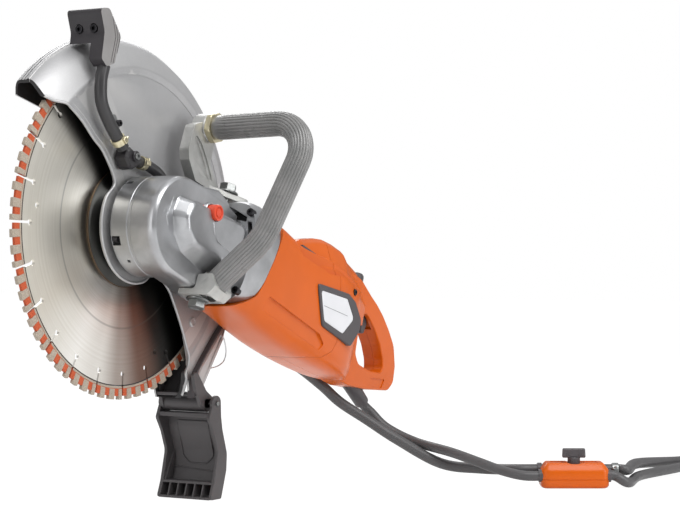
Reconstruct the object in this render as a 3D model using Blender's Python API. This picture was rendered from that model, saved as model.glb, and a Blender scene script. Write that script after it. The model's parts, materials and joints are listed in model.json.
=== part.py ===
"""An electric concrete cut-off saw for a 350 mm blade, standing on its folding splash foot.

The row frame: the origin is the middle of the foot's rest face, +X points to the rear handle,
+Y to the blade's outer side and +Z up. The sizes below are in millimetres. The arbor frame
is parallel to the row frame and starts at the blade's centre. The machine frame starts
there too and is pitched by MACHINE_PITCH: its X runs back along the motor, its Z is "up" on
the machine. The motor frame is the machine frame moved to the motor's own axis.
"""

import math

import bpy
import bmesh
from mathutils import Vector

MM = 0.001

# Places
ARBOR = (-115.0, 0.0, 287.0)
MACHINE_PITCH = 20.0
MOTOR_Y = -65.0
FOOT_PIN = (117.0, 0.0, -185.5)
TRIGGER_PIN = (366.0, MOTOR_Y, 50.0)
LOCKOUT_PLACE = (356.0, MOTOR_Y, 74.0)
LOCK_PIN_PLACE = (25.0, 0.0, 24.0)
VALVE_PLACE = (418.0, -311.0, -287.0)
VALVE_TURN = -59.2

# Cutting side
BLADE_RADIUS = 175.0
BLADE_THICKNESS = 3.0
BLADE_SLOTS = 24
SLOT_WIDTH = 3.0
SLOT_DEPTH = 26.0
KEYHOLE_RADIUS = 3.6
FIRST_SLOT = 43.85
ARBOR_BORE = 12.7
RUNNING_GAP = 0.3
GUARD_RADIUS = 194.0
GUARD_WALL_Y = -17.0
GUARD_SHEET = 2.5
GUARD_SEAM_Y = 14.0
GUARD_OUTER_Y = 30.0
TAIL_START = -38.0
TAIL_MOST = -75.0

# Gears: a crown gear on the spindle and a bevel pinion on the motor
CROWN_TEETH = 38
PINION_TEETH = 11
CONE_OUTER = 36.0
CONE_INNER = 26.0
ADDENDUM = 1.2
DEDENDUM = 1.9

# Machine body
DRUM_RADIUS = 51.0
BODY_HALF_WIDTH = 35.0
COVER_REAR = 88.0
FLANGE_REAR = 125.0
HOUSING_REAR = 290.0
SHELL = 3.2
HANDLE_HALF_WIDTH = 13.0
HANDLE_PLANE = 52.0
UPPER_BOLT = (97.0, -48.0, 0.0)
LOWER_BOLT = (55.0, -70.0, 0.0)
SLEEVE_RADIUS = 13.0
HANDLE_CORE_RADIUS = 8.0
CABLE_RADIUS = 5.5
HOSE_RADIUS = 6.0
HOSE_ENTRY = (241.0, -92.0)
RELIEF_RADIUS = 10.0
RELIEF_START = Vector((326.0, MOTOR_Y, -161.0))
RELIEF_RUN = Vector((0.76, 0.0, -0.65)).normalized()

AXES = {
    "X": lambda radius, angle, along: (along, radius * math.cos(angle), radius * math.sin(angle)),
    "Y": lambda radius, angle, along: (radius * math.cos(angle), along, radius * math.sin(angle)),
    "Z": lambda radius, angle, along: (radius * math.cos(angle), radius * math.sin(angle), along),
}


# ---------------------------------------------------------------- scene and materials

def clear_scene():
    for old in list(bpy.data.objects):
        bpy.data.objects.remove(old)


def paint(name, colour, roughness, metallic=0.0):
    material = bpy.data.materials.new(name)
    material.use_nodes = True
    shader = material.node_tree.nodes["Principled BSDF"]
    shader.inputs["Base Color"].default_value = (*colour, 1.0)
    shader.inputs["Roughness"].default_value = roughness
    shader.inputs["Metallic"].default_value = metallic
    return material


def frame(name, place=(0, 0, 0), turn=(0, 0, 0), parent=None):
    empty = bpy.data.objects.new(name, None)
    empty.location = Vector(place) * MM
    empty.rotation_euler = [math.radians(angle) for angle in turn]
    empty.parent = parent
    bpy.context.scene.collection.objects.link(empty)
    return empty


# ---------------------------------------------------------------- solids from rings

def solid(name, rings, parent, material=None, wrap=False):
    """A closed solid skinned over rings of points. With wrap, the last ring joins the first."""
    shape = bmesh.new()
    rows = [[shape.verts.new(Vector(point) * MM) for point in ring] for ring in rings]
    pairs = list(zip(rows, rows[1:]))
    if wrap:
        pairs.append((rows[-1], rows[0]))
    for near, far in pairs:
        for i in range(len(near)):
            j = (i + 1) % len(near)
            shape.faces.new((near[i], near[j], far[j], far[i]))
    if not wrap:
        shape.faces.new(rows[0])
        shape.faces.new(rows[-1])
    bmesh.ops.recalc_face_normals(shape, faces=shape.faces)
    return add_mesh(name, shape, parent, material)


def add_mesh(name, shape, parent, material):
    mesh = bpy.data.meshes.new(name)
    shape.to_mesh(mesh)
    shape.free()
    mesh.shade_smooth()
    mesh.set_sharp_from_angle(angle=math.radians(35))
    obj = bpy.data.objects.new(name, mesh)
    obj.parent = parent
    bpy.context.scene.collection.objects.link(obj)
    if material:
        mesh.materials.append(material)
    else:
        obj.hide_render = True
        obj.display_type = "WIRE"
    return obj


def turned(name, profile, axis, parent, material=None, wrap=False, steps=24, centre=(0, 0, 0)):
    """A solid of revolution. profile holds (radius, distance along the axis)."""
    place = AXES[axis]
    turns = [2 * math.pi * (k + 0.5) / steps for k in range(steps)]
    rings = []
    for radius, along in profile:
        rings.append([Vector(place(radius, angle, along)) + Vector(centre) for angle in turns])
    return solid(name, rings, parent, material, wrap)


def ring_between(name, inner, outer, low, high, axis, parent, material=None, **options):
    profile = [(inner, low), (outer, low), (outer, high), (inner, high)]
    return turned(name, profile, axis, parent, material, wrap=True, **options)


def rod(name, radius, low, high, axis, parent, material=None, **options):
    return turned(name, [(radius, low), (radius, high)], axis, parent, material, **options)


def plate(name, outline, low, high, parent, material=None, across="Y"):
    """An outline of (x, z) pairs extruded along Y, or of (y, z) pairs along X, or (x, y) along Z."""
    spread = {
        "Y": lambda a, b, depth: (a, depth, b),
        "X": lambda a, b, depth: (depth, a, b),
        "Z": lambda a, b, depth: (a, b, depth),
    }[across]
    rings = [[spread(a, b, depth) for a, b in outline] for depth in (low, high)]
    return solid(name, rings, parent, material)


def block(name, low, high, parent, material=None):
    outline = [(low[0], low[2]), (high[0], low[2]), (high[0], high[2]), (low[0], high[2])]
    return plate(name, outline, low[1], high[1], parent, material)


def swept(name, path, radii, parent, material=None, sides=8):
    """A round bar along a path, or a tube if radii holds an outer and an inner radius."""
    rings = []
    for radius in radii:
        row = circles_along(path, radius, sides)
        rings.extend(row if not rings else reversed(row))
    return solid(name, rings, parent, material, wrap=len(radii) > 1)


def circles_along(path, radius, sides):
    points = [Vector(point) for point in path]
    side = None
    rows = []
    runs = [(b - a).normalized() for a, b in zip(points, points[1:])]
    for i, point in enumerate(points):
        ahead = (runs[max(i - 1, 0)] + runs[min(i, len(runs) - 1)]).normalized()
        if side is None:
            side = ahead.orthogonal().normalized()
        side = (side - ahead * side.dot(ahead)).normalized()
        up = ahead.cross(side)
        angles = [2 * math.pi * k / sides for k in range(sides)]
        rows.append([point + radius * (side * math.cos(a) + up * math.sin(a)) for a in angles])
    return rows


def smooth_path(points, steps=4):
    """Catmull-Rom points through the given ones."""
    controls = [Vector(point) for point in points]
    controls = [2 * controls[0] - controls[1], *controls, 2 * controls[-1] - controls[-2]]
    path = []
    for a, b, c, d in zip(controls, controls[1:], controls[2:], controls[3:]):
        for k in range(steps):
            t = k / steps
            path.append(0.5 * (2 * b + (c - a) * t + (2 * a - 5 * b + 4 * c - d) * t * t
                               + (3 * b - a - 3 * c + d) * t * t * t))
    path.append(controls[-2])
    return path


def filleted(corners, radii, steps=5):
    """A polyline whose inner corners are rounded by arcs."""
    path = [Vector(corners[0])]
    for before, corner, after, radius in zip(corners, corners[1:], corners[2:], radii):
        here = Vector(corner)
        back = (Vector(before) - here).normalized()
        ahead = (Vector(after) - here).normalized()
        half = back.angle(ahead) / 2
        reach = radius / math.tan(half)
        middle = here + (back + ahead).normalized() * (radius / math.sin(half))
        start = here + back * reach - middle
        end = here + ahead * reach - middle
        turn = start.angle(end)
        for k in range(steps + 1):
            share = k / steps
            path.append(middle + (start * math.sin((1 - share) * turn)
                                  + end * math.sin(share * turn)) / math.sin(turn))
    path.append(Vector(corners[-1]))
    return path


def arc(centre, radius, start, end, steps):
    points = []
    for k in range(steps + 1):
        angle = math.radians(start + (end - start) * k / steps)
        points.append((centre[0] + radius * math.cos(angle), centre[1] + radius * math.sin(angle)))
    return points


def rounded_section(along, half_width, top, bottom, centre=MOTOR_Y, power=3.4, count=20):
    """A rounded rectangle across the machine, as a superellipse."""
    middle = (top + bottom) / 2
    half_height = (top - bottom) / 2
    points = []
    for k in range(count):
        angle = 2 * math.pi * (k + 0.5) / count
        c, s = math.cos(angle), math.sin(angle)
        y = centre + half_width * math.copysign(abs(c) ** (2 / power), c)
        z = middle + half_height * math.copysign(abs(s) ** (2 / power), s)
        points.append((along, y, z))
    return points


def combine(obj, tool, operation="DIFFERENCE", solver="EXACT"):
    modifier = obj.modifiers.new(operation.lower(), "BOOLEAN")
    modifier.operation = operation
    modifier.object = tool
    modifier.solver = solver
    return obj


# ---------------------------------------------------------------- blade and spindle

def polar(radius, angle):
    return radius * math.cos(math.radians(angle)), radius * math.sin(math.radians(angle))


def blade_outline():
    """The disc's edge, with a slot and its keyhole at every segment."""
    outline = []
    keyhole_at = BLADE_RADIUS - SLOT_DEPTH
    pitch = 360 / BLADE_SLOTS
    half_slot = math.degrees(SLOT_WIDTH / 2 / BLADE_RADIUS)
    for k in range(BLADE_SLOTS):
        middle = FIRST_SLOT + 90 + k * pitch
        before, after = middle - half_slot, middle + half_slot
        outline.append(polar(BLADE_RADIUS, before))
        centre = polar(keyhole_at, middle)
        opening = math.degrees(math.asin(SLOT_WIDTH / 2 / KEYHOLE_RADIUS))
        outline.extend(arc(centre, KEYHOLE_RADIUS, middle - opening, middle - 360 + opening, 6))
        outline.append(polar(BLADE_RADIUS, after))
        outline.append(polar(BLADE_RADIUS, middle + pitch / 3))
        outline.append(polar(BLADE_RADIUS, middle + 2 * pitch / 3))
    return outline


def build_blade(arbor, steel, zinc):
    blade = plate("cutting_blade", blade_outline(), -BLADE_THICKNESS / 2, BLADE_THICKNESS / 2,
                  arbor, steel)
    combine(blade, rod("blade_bore", ARBOR_BORE, -5, 5, "Y", arbor))
    inner = [(ARBOR_BORE, -1.8), (58, -1.8), (58, -3.2), (49, -7.2), (ARBOR_BORE, -7.2)]
    turned("inner_flange", inner, "Y", arbor, zinc, wrap=True)
    outer = [(ARBOR_BORE, 1.8), (52, 1.8), (52, 3.5), (40, 7.6), (5.5, 7.6), (5.5, 4.4),
             (ARBOR_BORE, 4.4)]
    turned("outer_flange", outer, "Y", arbor, zinc, wrap=True)
    bolt = rod("blade_bolt", 5.0, -10, 9, "Y", arbor, zinc, steps=12)
    combine(bolt, rod("bolt_head", 10.0, 8, 16, "Y", arbor, steps=6), "UNION")


def build_spindle(arbor, steel):
    nose = ARBOR_BORE - RUNNING_GAP
    profile = [(5.4, -12), (5.4, 4.0), (nose, 4.0), (nose, -40), (14, -40), (14, -61.5), (5, -61.5),
               (5, -71)]
    turned("spindle", profile, "Y", arbor, steel)


def tooth_ring(place, base, reach, teeth, phase, scale):
    """Points round a bevel gear at one cone distance: root, tip, tip, root for each tooth."""
    radius_base, along_base = base
    radius_reach, along_reach = reach
    pitch = 2 * math.pi / teeth
    steps = [(-0.31, -DEDENDUM), (-0.11, ADDENDUM), (0.11, ADDENDUM), (0.31, -DEDENDUM)]
    points = []
    for k in range(teeth):
        for share, height in steps:
            angle = phase + (k + share) * pitch
            radius = radius_base + height * scale * radius_reach
            along = along_base + height * scale * along_reach
            points.append(place(radius, angle, along))
    return points


def build_gears(machine, motor, steel):
    crown_cone = math.atan2(CROWN_TEETH, PINION_TEETH)
    pinion_cone = math.pi / 2 - crown_cone
    scale = CONE_INNER / CONE_OUTER

    def crown(cone, factor):
        base = (cone * math.sin(crown_cone), MOTOR_Y + cone * math.cos(crown_cone))
        reach = (math.cos(crown_cone), -math.sin(crown_cone))
        phase = math.pi / CROWN_TEETH
        return tooth_ring(AXES["Y"], base, reach, CROWN_TEETH, phase, factor)

    def pinion(cone, factor):
        base = (cone * math.sin(pinion_cone), cone * math.cos(pinion_cone))
        reach = (math.cos(pinion_cone), -math.sin(pinion_cone))
        return tooth_ring(AXES["X"], base, reach, PINION_TEETH, 0.0, factor)

    def circle(place, like, radius, along):
        count = len(like)
        return [place(radius, 2 * math.pi * (k + 0.5) / count, along) for k in range(count)]

    outer, inner = crown(CONE_OUTER, 1.0), crown(CONE_INNER, scale)
    back, bore = -47.5, 14.3
    rings = [circle(AXES["Y"], outer, bore, back), circle(AXES["Y"], outer, 37, back), outer, inner,
             circle(AXES["Y"], outer, bore, -57)]
    solid("crown_gear", rings, machine, steel, wrap=True)

    outer, inner = pinion(CONE_OUTER, 1.0), pinion(CONE_INNER, scale)
    bore = 4.3
    rings = [circle(AXES["X"], outer, bore, 41), circle(AXES["X"], outer, 7.5, 41), outer, inner,
             circle(AXES["X"], outer, bore, 24.6)]
    solid("bevel_pinion", rings, motor, steel, wrap=True)


# ---------------------------------------------------------------- guard and foot

def tail_reach(angle):
    """How far the guard's rim runs out past its circle, at its straight lower end."""
    if angle >= TAIL_START:
        return 0.0
    turn = math.radians(TAIL_START - max(angle, TAIL_MOST))
    return GUARD_RADIUS / math.cos(turn) - GUARD_RADIUS


def guard_shell(name, profile, parent, material, steps=40):
    """The sheet's (radius, y) profile turned round the arbor, its rim following the tail."""
    rings = []
    for k in range(steps):
        angle = 360 * k / steps - 120
        ring = []
        for radius, y in profile:
            share = min(max((radius - 160) / 22, 0.0), 1.0)
            x, z = polar(radius + share * tail_reach(angle), angle)
            ring.append((x, y, z))
        rings.append(ring)
    return solid(name, rings, parent, material, wrap=True)


def build_guard(arbor, grey):
    rim, wall, sheet = GUARD_RADIUS, GUARD_WALL_Y, GUARD_SHEET
    inboard = [(27.4, wall), (160, wall), (182, -6), (rim - 1, 9), (rim, GUARD_SEAM_Y),
               (rim - sheet, GUARD_SEAM_Y), (rim - 3.6, 10), (180, -3.4), (159, wall + sheet),
               (27.4, wall + sheet)]
    outboard = [(rim, GUARD_SEAM_Y + 0.3), (rim, 27), (rim - 3, GUARD_OUTER_Y), (104, GUARD_OUTER_Y),
                (104, GUARD_OUTER_Y - sheet), (rim - 4.5, GUARD_OUTER_Y - sheet),
                (rim - sheet, 25), (rim - sheet, GUARD_SEAM_Y + 0.3)]
    front, low, far = -132.5, -179.0, 320.0
    hub = arc((0, 0), 57, 128, 304, 14)
    inboard_opening = [(front, far), (front, 124), (-124, 120), (-110, 117), (-89, 104), (-69, 86),
                       (-52, 72), *hub, (55, -63), (66, -79), (80, -104), (91, -130), (91, -146),
                       (86, -152), (92, -164), (94, low), (190, low), (190, -far), (-far, -far),
                       (-far, far)]
    outboard_opening = [(front, far), (front, 126), (-84, 113), (-60, 80), (0, 30), (60, -60),
                        (86, -150), (96, low), (190, low), (190, -far), (-far, -far), (-far, far)]
    shell = guard_shell("guard_inboard_shell", inboard, arbor, grey)
    combine(shell, plate("inboard_opening", inboard_opening, -60, 60, arbor))
    shell = guard_shell("guard_outboard_shell", outboard, arbor, grey)
    combine(shell, plate("outboard_opening", outboard_opening, -60, 60, arbor))


def build_guard_grip(arbor, rubber, dark_steel, hose_black, brass):
    """The grip that swings the guard, with the water hose that comes out of its stem."""
    side = [(-81, 212), (-66, 214), (-48, 187), (-58, 160), (-71, 156), (-80, 163), (-73, 190)]
    grip = plate("guard_grip", side, -34, 9, arbor, rubber)
    seat = turned("grip_seat", [(100, -17.4), (GUARD_RADIUS + 0.4, -17.4), (GUARD_RADIUS + 0.4, 20),
                                (100, 20)], "Y", arbor, wrap=True, steps=48)
    combine(grip, seat)
    for name, y in (("grip_screw_left", -3.0), ("grip_screw_right", -21.0)):
        bore = rod(name + "_bore", 4.8, -90, -68, "X", arbor, steps=12, centre=(0, y, 193.5))
        combine(grip, bore)
        rod(name, 4.4, -77.0, -69.0, "X", arbor, dark_steel, steps=12, centre=(0, y, 193.5))

    path = smooth_path([(-67, -27, 155), (-69, -27, 140), (-62, -27, 118), (-45, -27, 96),
                        (-35, -27, 86)])
    swept("guard_hose", path, [6.3], arbor, hose_black)
    ring_along(path, -3, "hose_clamp_upper", arbor, brass)

    body = [(-31, 83), (-38, 76), (-30, 60), (-22, 57), (-8, 66), (-16, 76)]
    plate("hose_connector", body, -31, -18.5, arbor, hose_black)


def ring_along(path, index, name, parent, material):
    """A band clamp round a hose, near the path's point at index."""
    ahead = (Vector(path[index + 1]) - Vector(path[index - 1])).normalized()
    middle = Vector(path[index])
    ends = [middle - ahead * 3.5, middle, middle + ahead * 3.5]
    swept(name, ends, [8.8, 7.3], parent, material, sides=12)


def build_foot_bracket(arbor, plastic, steel):
    """The saddle at the guard's lower end that carries the foot's hinge pin."""
    pin_x, _, pin_z = FOOT_PIN
    arm = [(90, -158), (102, -158), (124, -178), (pin_x + 8, pin_z - 6), (pin_x - 9, pin_z - 6),
           (96, -176)]
    saddle = plate("foot_bracket", arm, -24, -17.6, arbor, plastic)
    outer_arm = [(96, -168), (108, -168), (126, -180), (pin_x + 8, pin_z - 6), (pin_x - 9, pin_z - 6)]
    combine(saddle, plate("outer_arm", outer_arm, 30.6, 34, arbor), "UNION")
    bar = [(pin_x - 9, pin_z - 6), (pin_x - 9, -180), (pin_x + 8, -180), (pin_x + 8, pin_z - 6)]
    combine(saddle, plate("bracket_bar", bar, -24, 34, arbor), "UNION")
    combine(saddle, rod("pin_bore", 2.9, -60, 60, "Y", arbor, steps=12, centre=FOOT_PIN))
    rod("hinge_pin", 2.5, -41.5, 41.5, "Y", arbor, steel, steps=12, centre=FOOT_PIN)

    turns, coil_radius, wire = 3, 4.6, 0.8
    coil = []
    for k in range(turns * 10 + 1):
        angle = 2 * math.pi * k / 10
        x, z = coil_radius * math.cos(angle), coil_radius * math.sin(angle)
        coil.append((pin_x + x, -31.4 + k * 0.2, pin_z + z))
    leg = [(pin_x + 4.6, -25.2, -178), (pin_x + 3, -25.2, -168), (104, -25.2, -158)]
    swept("foot_spring", coil + leg, [wire], arbor, steel, sides=5)


def build_foot(hinge, plastic):
    """The splash foot: a scoop with a ribbed base, in the frame of its hinge pin."""
    width, wall, ear = 40.0, 3.0, 5.6
    rest = -287.0 - FOOT_PIN[2]
    side = [*arc((0, 0), 8.5, 180, 0, 8), (9, -14), (11, -28), (20, -54), (18, -72), (8, rest),
            (-12, rest), (-4, -84), (4, -52), (-5, -30), (-17, -15), (-14, -6)]
    foot = plate("splash_foot", side, -width, width, hinge, plastic)
    inner = width - wall
    scoop = [(-40, -16), (6, -16), (8, -29), (16.5, -54), (14.5, -71), (11, -84), (-40, -84)]
    combine(foot, plate("scoop_room", scoop, -inner, inner, hinge))
    combine(foot, block("hinge_room", (-30, -width + ear, -12.5), (30, width - ear, 20), hinge))
    cells = 6
    pitch = 2 * inner / cells
    for k in range(cells):
        left = -inner + k * pitch + (1.2 if k else 0)
        right = -inner + (k + 1) * pitch - (1.2 if k < cells - 1 else 0)
        combine(foot, block(f"cell_{k}", (-30, left, -87), (5, right, rest + 3), hinge))
    combine(foot, rod("foot_pin_bore", 2.8, -60, 60, "Y", hinge, steps=12))


# ---------------------------------------------------------------- gear case and motor

def build_gear_case(arbor, machine, motor, cast, steel):
    housing = [(15, -10), (27, -10), (27, -22), (DRUM_RADIUS, -22), (DRUM_RADIUS, -46),
               (46.5, -46), (46.5, -28), (23.8, -28), (23.8, -12.5), (15, -12.5)]
    turned("gear_housing", housing, "Y", arbor, cast, wrap=True, steps=32)
    ring_between("spindle_bearing_outboard", 12.8, 23.5, -26, -14, "Y", arbor, steel)
    ring_between("spindle_bearing_inboard", 5.3, 13.0, -70, -63, "Y", arbor, steel)

    outline = [(COVER_REAR, 55), (20, DRUM_RADIUS + 1), *arc((0, 0), DRUM_RADIUS, 90, 270, 14),
               (20, -DRUM_RADIUS - 1), (COVER_REAR, -49)]
    cover = plate("gear_cover", outline, -76, -46.3, machine, cast)
    boss = [(COVER_REAR, 40), (40, 33), *arc((6, 5), 24, 100, 262, 8), (40, -19), (COVER_REAR, -19)]
    combine(cover, plate("boss", boss, -93, -74, machine), "UNION")
    side = [(COVER_REAR, 55), (53, 50), (53, -46), (COVER_REAR, -49)]
    combine(cover, plate("cover_side", side, -50, -33, machine), "UNION")
    combine(cover, rod("drum_room", 46, -62, -30, "Y", machine, steps=32))
    combine(cover, rod("inboard_bearing_seat", 13.3, -71, -60, "Y", machine))
    combine(cover, rod("pinion_room", 13.6, 18, 52, "X", motor))
    combine(cover, rod("front_bearing_seat", 17.8, 50, 64, "X", motor))
    combine(cover, rod("fan_shaft_room", 24, 63.9, 100, "X", motor))
    combine(cover, rod("lock_bore", 9.0, -100, -74, "Y", machine, steps=20, centre=LOCK_PIN_PLACE))
    combine(cover, rod("lock_pin_bore", 3.4, -80, -60, "Y", machine, steps=12, centre=LOCK_PIN_PLACE))
    combine(cover, rod("lower_bolt_seat", 4.3, -60, -40, "Z", machine, steps=12,
                       centre=LOWER_BOLT))

    sections = [rounded_section(COVER_REAR + 0.3, 34, 60, -49), rounded_section(102, 35, 65, -50),
                rounded_section(FLANGE_REAR, 35, 66, -52)]
    flange = solid("motor_flange", sections, machine, cast)
    combine(flange, rod("flange_room", 31.0, 80, 140, "X", motor, steps=32))
    combine(flange, block("vent_left", (97, -104, 8), (116, -80, 24), machine))
    combine(flange, block("vent_right", (97, -104, 28), (116, -84, 42), machine))
    combine(flange, rod("upper_bolt_seat", 4.3, 52, 70, "Z", machine, steps=12, centre=UPPER_BOLT))
    rod("cover_screw", 5.0, 65.6, 70, "Z", machine, steel, steps=12, centre=(118, -76, 0))


def build_motor(motor, steel, copper, plastic, carbon):
    shaft = [(4.0, 26), (4.0, 52), (8.5, 52), (8.5, 262), (6, 262), (6, 270)]
    turned("rotor_shaft", shaft, "X", motor, steel)
    ring_between("motor_bearing_front", 8.8, 17.5, 53, 63, "X", motor, steel)
    ring_between("motor_bearing_rear", 6.3, 15, 263, 270, "X", motor, steel)
    ring_between("rotor_core", 8.8, 19.5, 165, 222, "X", motor, steel)
    ring_between("commutator", 8.8, 14, 232, 252, "X", motor, copper)
    ring_between("stator", 21, 30.5, 160, 226, "X", motor, steel)
    for name, side in (("carbon_brush_upper", 1), ("carbon_brush_lower", -1)):
        low, high = sorted((side * 14.4, side * 28))
        block(name, (236, -4, low), (248, 4, high), motor, carbon)

    fan = ring_between("cooling_fan", 8.8, 13, 132, 148, "X", motor, plastic)
    for k in range(8):
        angle = 2 * math.pi * k / 8
        c, s = math.cos(angle), math.sin(angle)
        corners = [(12.4, -1), (28, -1), (28, 1), (12.4, 1)]
        outline = [(a * c - b * s, a * s + b * c) for a, b in corners]
        combine(fan, plate(f"fan_blade_{k}", outline, 133, 147, motor, across="X"), "UNION")


# ---------------------------------------------------------------- housing and rear handle

def body_sections(narrower=0.0):
    """Sections of the motor housing: place along the body, half width, top and bottom."""
    stations = [(FLANGE_REAR + 0.3, 35, 62, -53), (150, 35, 66, -60), (195, 35, 69, -63),
                (228, 35, 72, -63), (254, 35, 83, -63), (HOUSING_REAR - 0.3, 34.5, 87, -62)]
    sections = []
    for along, half_width, top, bottom in stations:
        sections.append(rounded_section(along, half_width - narrower, top - narrower,
                                        bottom + narrower))
    return sections


def build_housing(arbor, machine, orange, plastic):
    housing = solid("motor_housing", body_sections(), machine, orange)
    room = body_sections(SHELL)
    room[0] = [(along - 5, y, z) for along, y, z in room[0]]
    room[-1] = [(along + 5, y, z) for along, y, z in room[-1]]
    combine(housing, solid("housing_room", room, machine))
    combine(housing, rod("hose_entry", HOSE_RADIUS + 1.4, -44, -20, "Y", arbor, steps=12,
                         centre=(HOSE_ENTRY[0], 0, HOSE_ENTRY[1])))
    block("control_module", (204, -84, 40), (280, -46, 56), machine, plastic)


HANDLE_OUTLINE = [(303, 83), (320, 82.5), (348, 78), (378, 67), (406, 54), (432, 38), (450, 18),
                  (457, -5), (457, -25), (447, -36), (428, -41), (400, -49), (360, -56),
                  (303, -59)]
OPENING_OUTLINE = [(364, 40), (394, 25), (414, 12), (426, -3), (430, -16), (424, -23), (398, -27),
                   (372, -27), (362, -18), (360, 10)]


def handle_half(name, low, high, machine, orange):
    """One half of the rear handle, between two planes across the machine."""
    sections = [rounded_section(HOUSING_REAR, 34.5, 86, -61), rounded_section(322, 31, 82, -59),
                rounded_section(350, 15, 76, -54)]
    half = solid(name, sections, machine, orange)
    grip = plate(name + "_grip", HANDLE_OUTLINE, MOTOR_Y - HANDLE_HALF_WIDTH,
                 MOTOR_Y + HANDLE_HALF_WIDTH, machine)
    combine(half, grip, "UNION")
    combine(half, plate(name + "_opening", OPENING_OUTLINE, -120, 0, machine))
    combine(half, block(name + "_room", (280, MOTOR_Y - 24, -48), (332, MOTOR_Y + 24, 70), machine))
    slot = block(name + "_slot", (325, MOTOR_Y - 8, 20), (392, MOTOR_Y + 8, 60), machine)
    combine(half, slot, solver="MANIFOLD")
    place = LOCKOUT_PLACE
    combine(half, rod(name + "_bore", 8.4, 40, 90, "Z", machine, steps=20,
                      centre=(place[0], place[1], 0)))
    side = block(name + "_side", (200, low, -200), (500, high, 200), machine)
    combine(half, side, "INTERSECT", "MANIFOLD")
    return half


def build_rear_handle(arbor, machine, orange, plastic, dark, light, steel):
    for name, low, high in (("rear_handle_left", -140, MOTOR_Y - 0.15),
                            ("rear_handle_right", MOTOR_Y + 0.15, 0)):
        half = handle_half(name, low, high, machine, orange)
        boot_bore = [RELIEF_START - RELIEF_RUN * 2, RELIEF_START + RELIEF_RUN * 70]
        combine(half, swept(name + "_boot", boot_bore, [RELIEF_RADIUS + 0.9], arbor, sides=12))
    block("power_switch", (296, MOTOR_Y - 12, 8), (322, MOTOR_Y + 12, 40), machine, plastic)

    face = MOTOR_Y - BODY_HALF_WIDTH - 0.3
    frame_outline = [(232, 20), (300, 33), (322, 20), (328, -10), (318, -20), (252, -20)]
    inner_outline = [(239, 15), (300, 26), (315, 15), (320, -8), (312, -13), (256, -13)]
    badge = plate("badge_frame", frame_outline, face - 2.0, face, machine, dark)
    combine(badge, plate("badge_window", inner_outline, face - 3, face - 0.8, machine))
    inset = [(a + 0.3 * math.copysign(1, 280 - a), b * 0.97) for a, b in inner_outline]
    plate("badge_plate", inset, face - 1.8, face - 1.1, machine, light)
    rod("handle_screw", 3.0, -98, -91, "Y", machine, steel, steps=12, centre=(343, 0, 27))


def build_controls(trigger_frame, lockout_frame, lock_frame, plastic, red):
    lever = [(-6, 5), (6, 5), (8, -4), (19, -24), (15, -36), (9, -38), (4, -20), (-6, -4)]
    plate("trigger", lever, -6.5, 6.5, trigger_frame, plastic)
    button = [(7.9, -12), (7.9, 4), (6.0, 7)]
    turned("lockout_button", button, "Z", lockout_frame, plastic, steps=20)
    stem = [(3.0, -61.5), (3.0, -78.5), (8.5, -78.5), (8.5, -95), (7.3, -96.5)]
    turned("spindle_lock_button", stem, "Y", lock_frame, red, steps=20)


# ---------------------------------------------------------------- front handle

def handle_path(start=0.0, end=0.0):
    """The loop's middle line, in a plane across the machine. start and end shorten it."""
    corners = [(HANDLE_PLANE, -38, 129.5), (HANDLE_PLANE, -172, 133), (HANDLE_PLANE, -136, 6),
               (HANDLE_PLANE, -86, -46.3)]
    path = filleted(corners, [34, 60])
    path[0] = path[0] + (path[1] - path[0]).normalized() * start
    path[-1] = path[-1] + (path[-2] - path[-1]).normalized() * end
    return path


def build_front_handle(machine, rubber, cast, steel, zinc):
    swept("handle_tube", handle_path(-8, -2), [HANDLE_CORE_RADIUS], machine, steel, sides=12)
    swept("handle_sleeve", handle_path(8, 0), [SLEEVE_RADIUS, HANDLE_CORE_RADIUS + 0.3], machine,
          rubber, sides=12)

    bracket = rod("handle_upper_bracket", 15.5, -45.5, -29, "Y", machine, cast, steps=20,
                  centre=(HANDLE_PLANE, 0, 129.5))
    arm = [(36, 128), (22, 122), (21.5, 94), (25, 85), (44, 70), (84, 70), (84, 75), (61, 93),
           (62, 120)]
    combine(bracket, plate("upper_arm", arm, -44, -33, machine), "UNION")
    flange = [(46, -33), (46, -42), (66, -42), (118, -66), (118, -33)]
    combine(bracket, plate("upper_flange", flange, 66.6, 74, machine, across="Z"), "UNION")
    combine(bracket, swept("tube_bore", handle_path(-20, 0), [HANDLE_CORE_RADIUS + 0.3], machine,
                           sides=12))
    combine(bracket, rod("upper_bolt_bore", 4.3, 60, 80, "Z", machine, steps=12,
                         centre=UPPER_BOLT))

    lower = [(-77, -40.7), (-77, -52), (-60, -52), (-60, -57.7), (-96.5, -57.7)]
    bracket = plate("handle_lower_bracket", lower, 36, 68, machine, cast, across="X")
    combine(bracket, swept("lower_tube_bore", handle_path(0, -3), [HANDLE_CORE_RADIUS + 0.3],
                           machine, sides=12))
    combine(bracket, rod("lower_bolt_bore", 4.3, -70, -50, "Z", machine, steps=12,
                         centre=LOWER_BOLT))

    for name, shank, head, centre in (("handle_bolt_upper", (56, 76), (74.3, 83), UPPER_BOLT),
                                      ("handle_bolt_lower", (-60, -42), (-66.7, -58), LOWER_BOLT)):
        bolt = rod(name, 4.0, *shank, "Z", machine, zinc, steps=12, centre=centre)
        combine(bolt, rod(name + "_head", 9.5, *head, "Z", machine, steps=6, centre=centre), "UNION")


# ---------------------------------------------------------------- cable, hoses and water valve

VALVE_HALF_LENGTH = 38.0
VALVE_HEIGHT = 28.0
CABLE_PORT = (0.0, -9.0, 13.5)
HOSE_PORT = (0.0, 9.0, 18.5)


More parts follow.
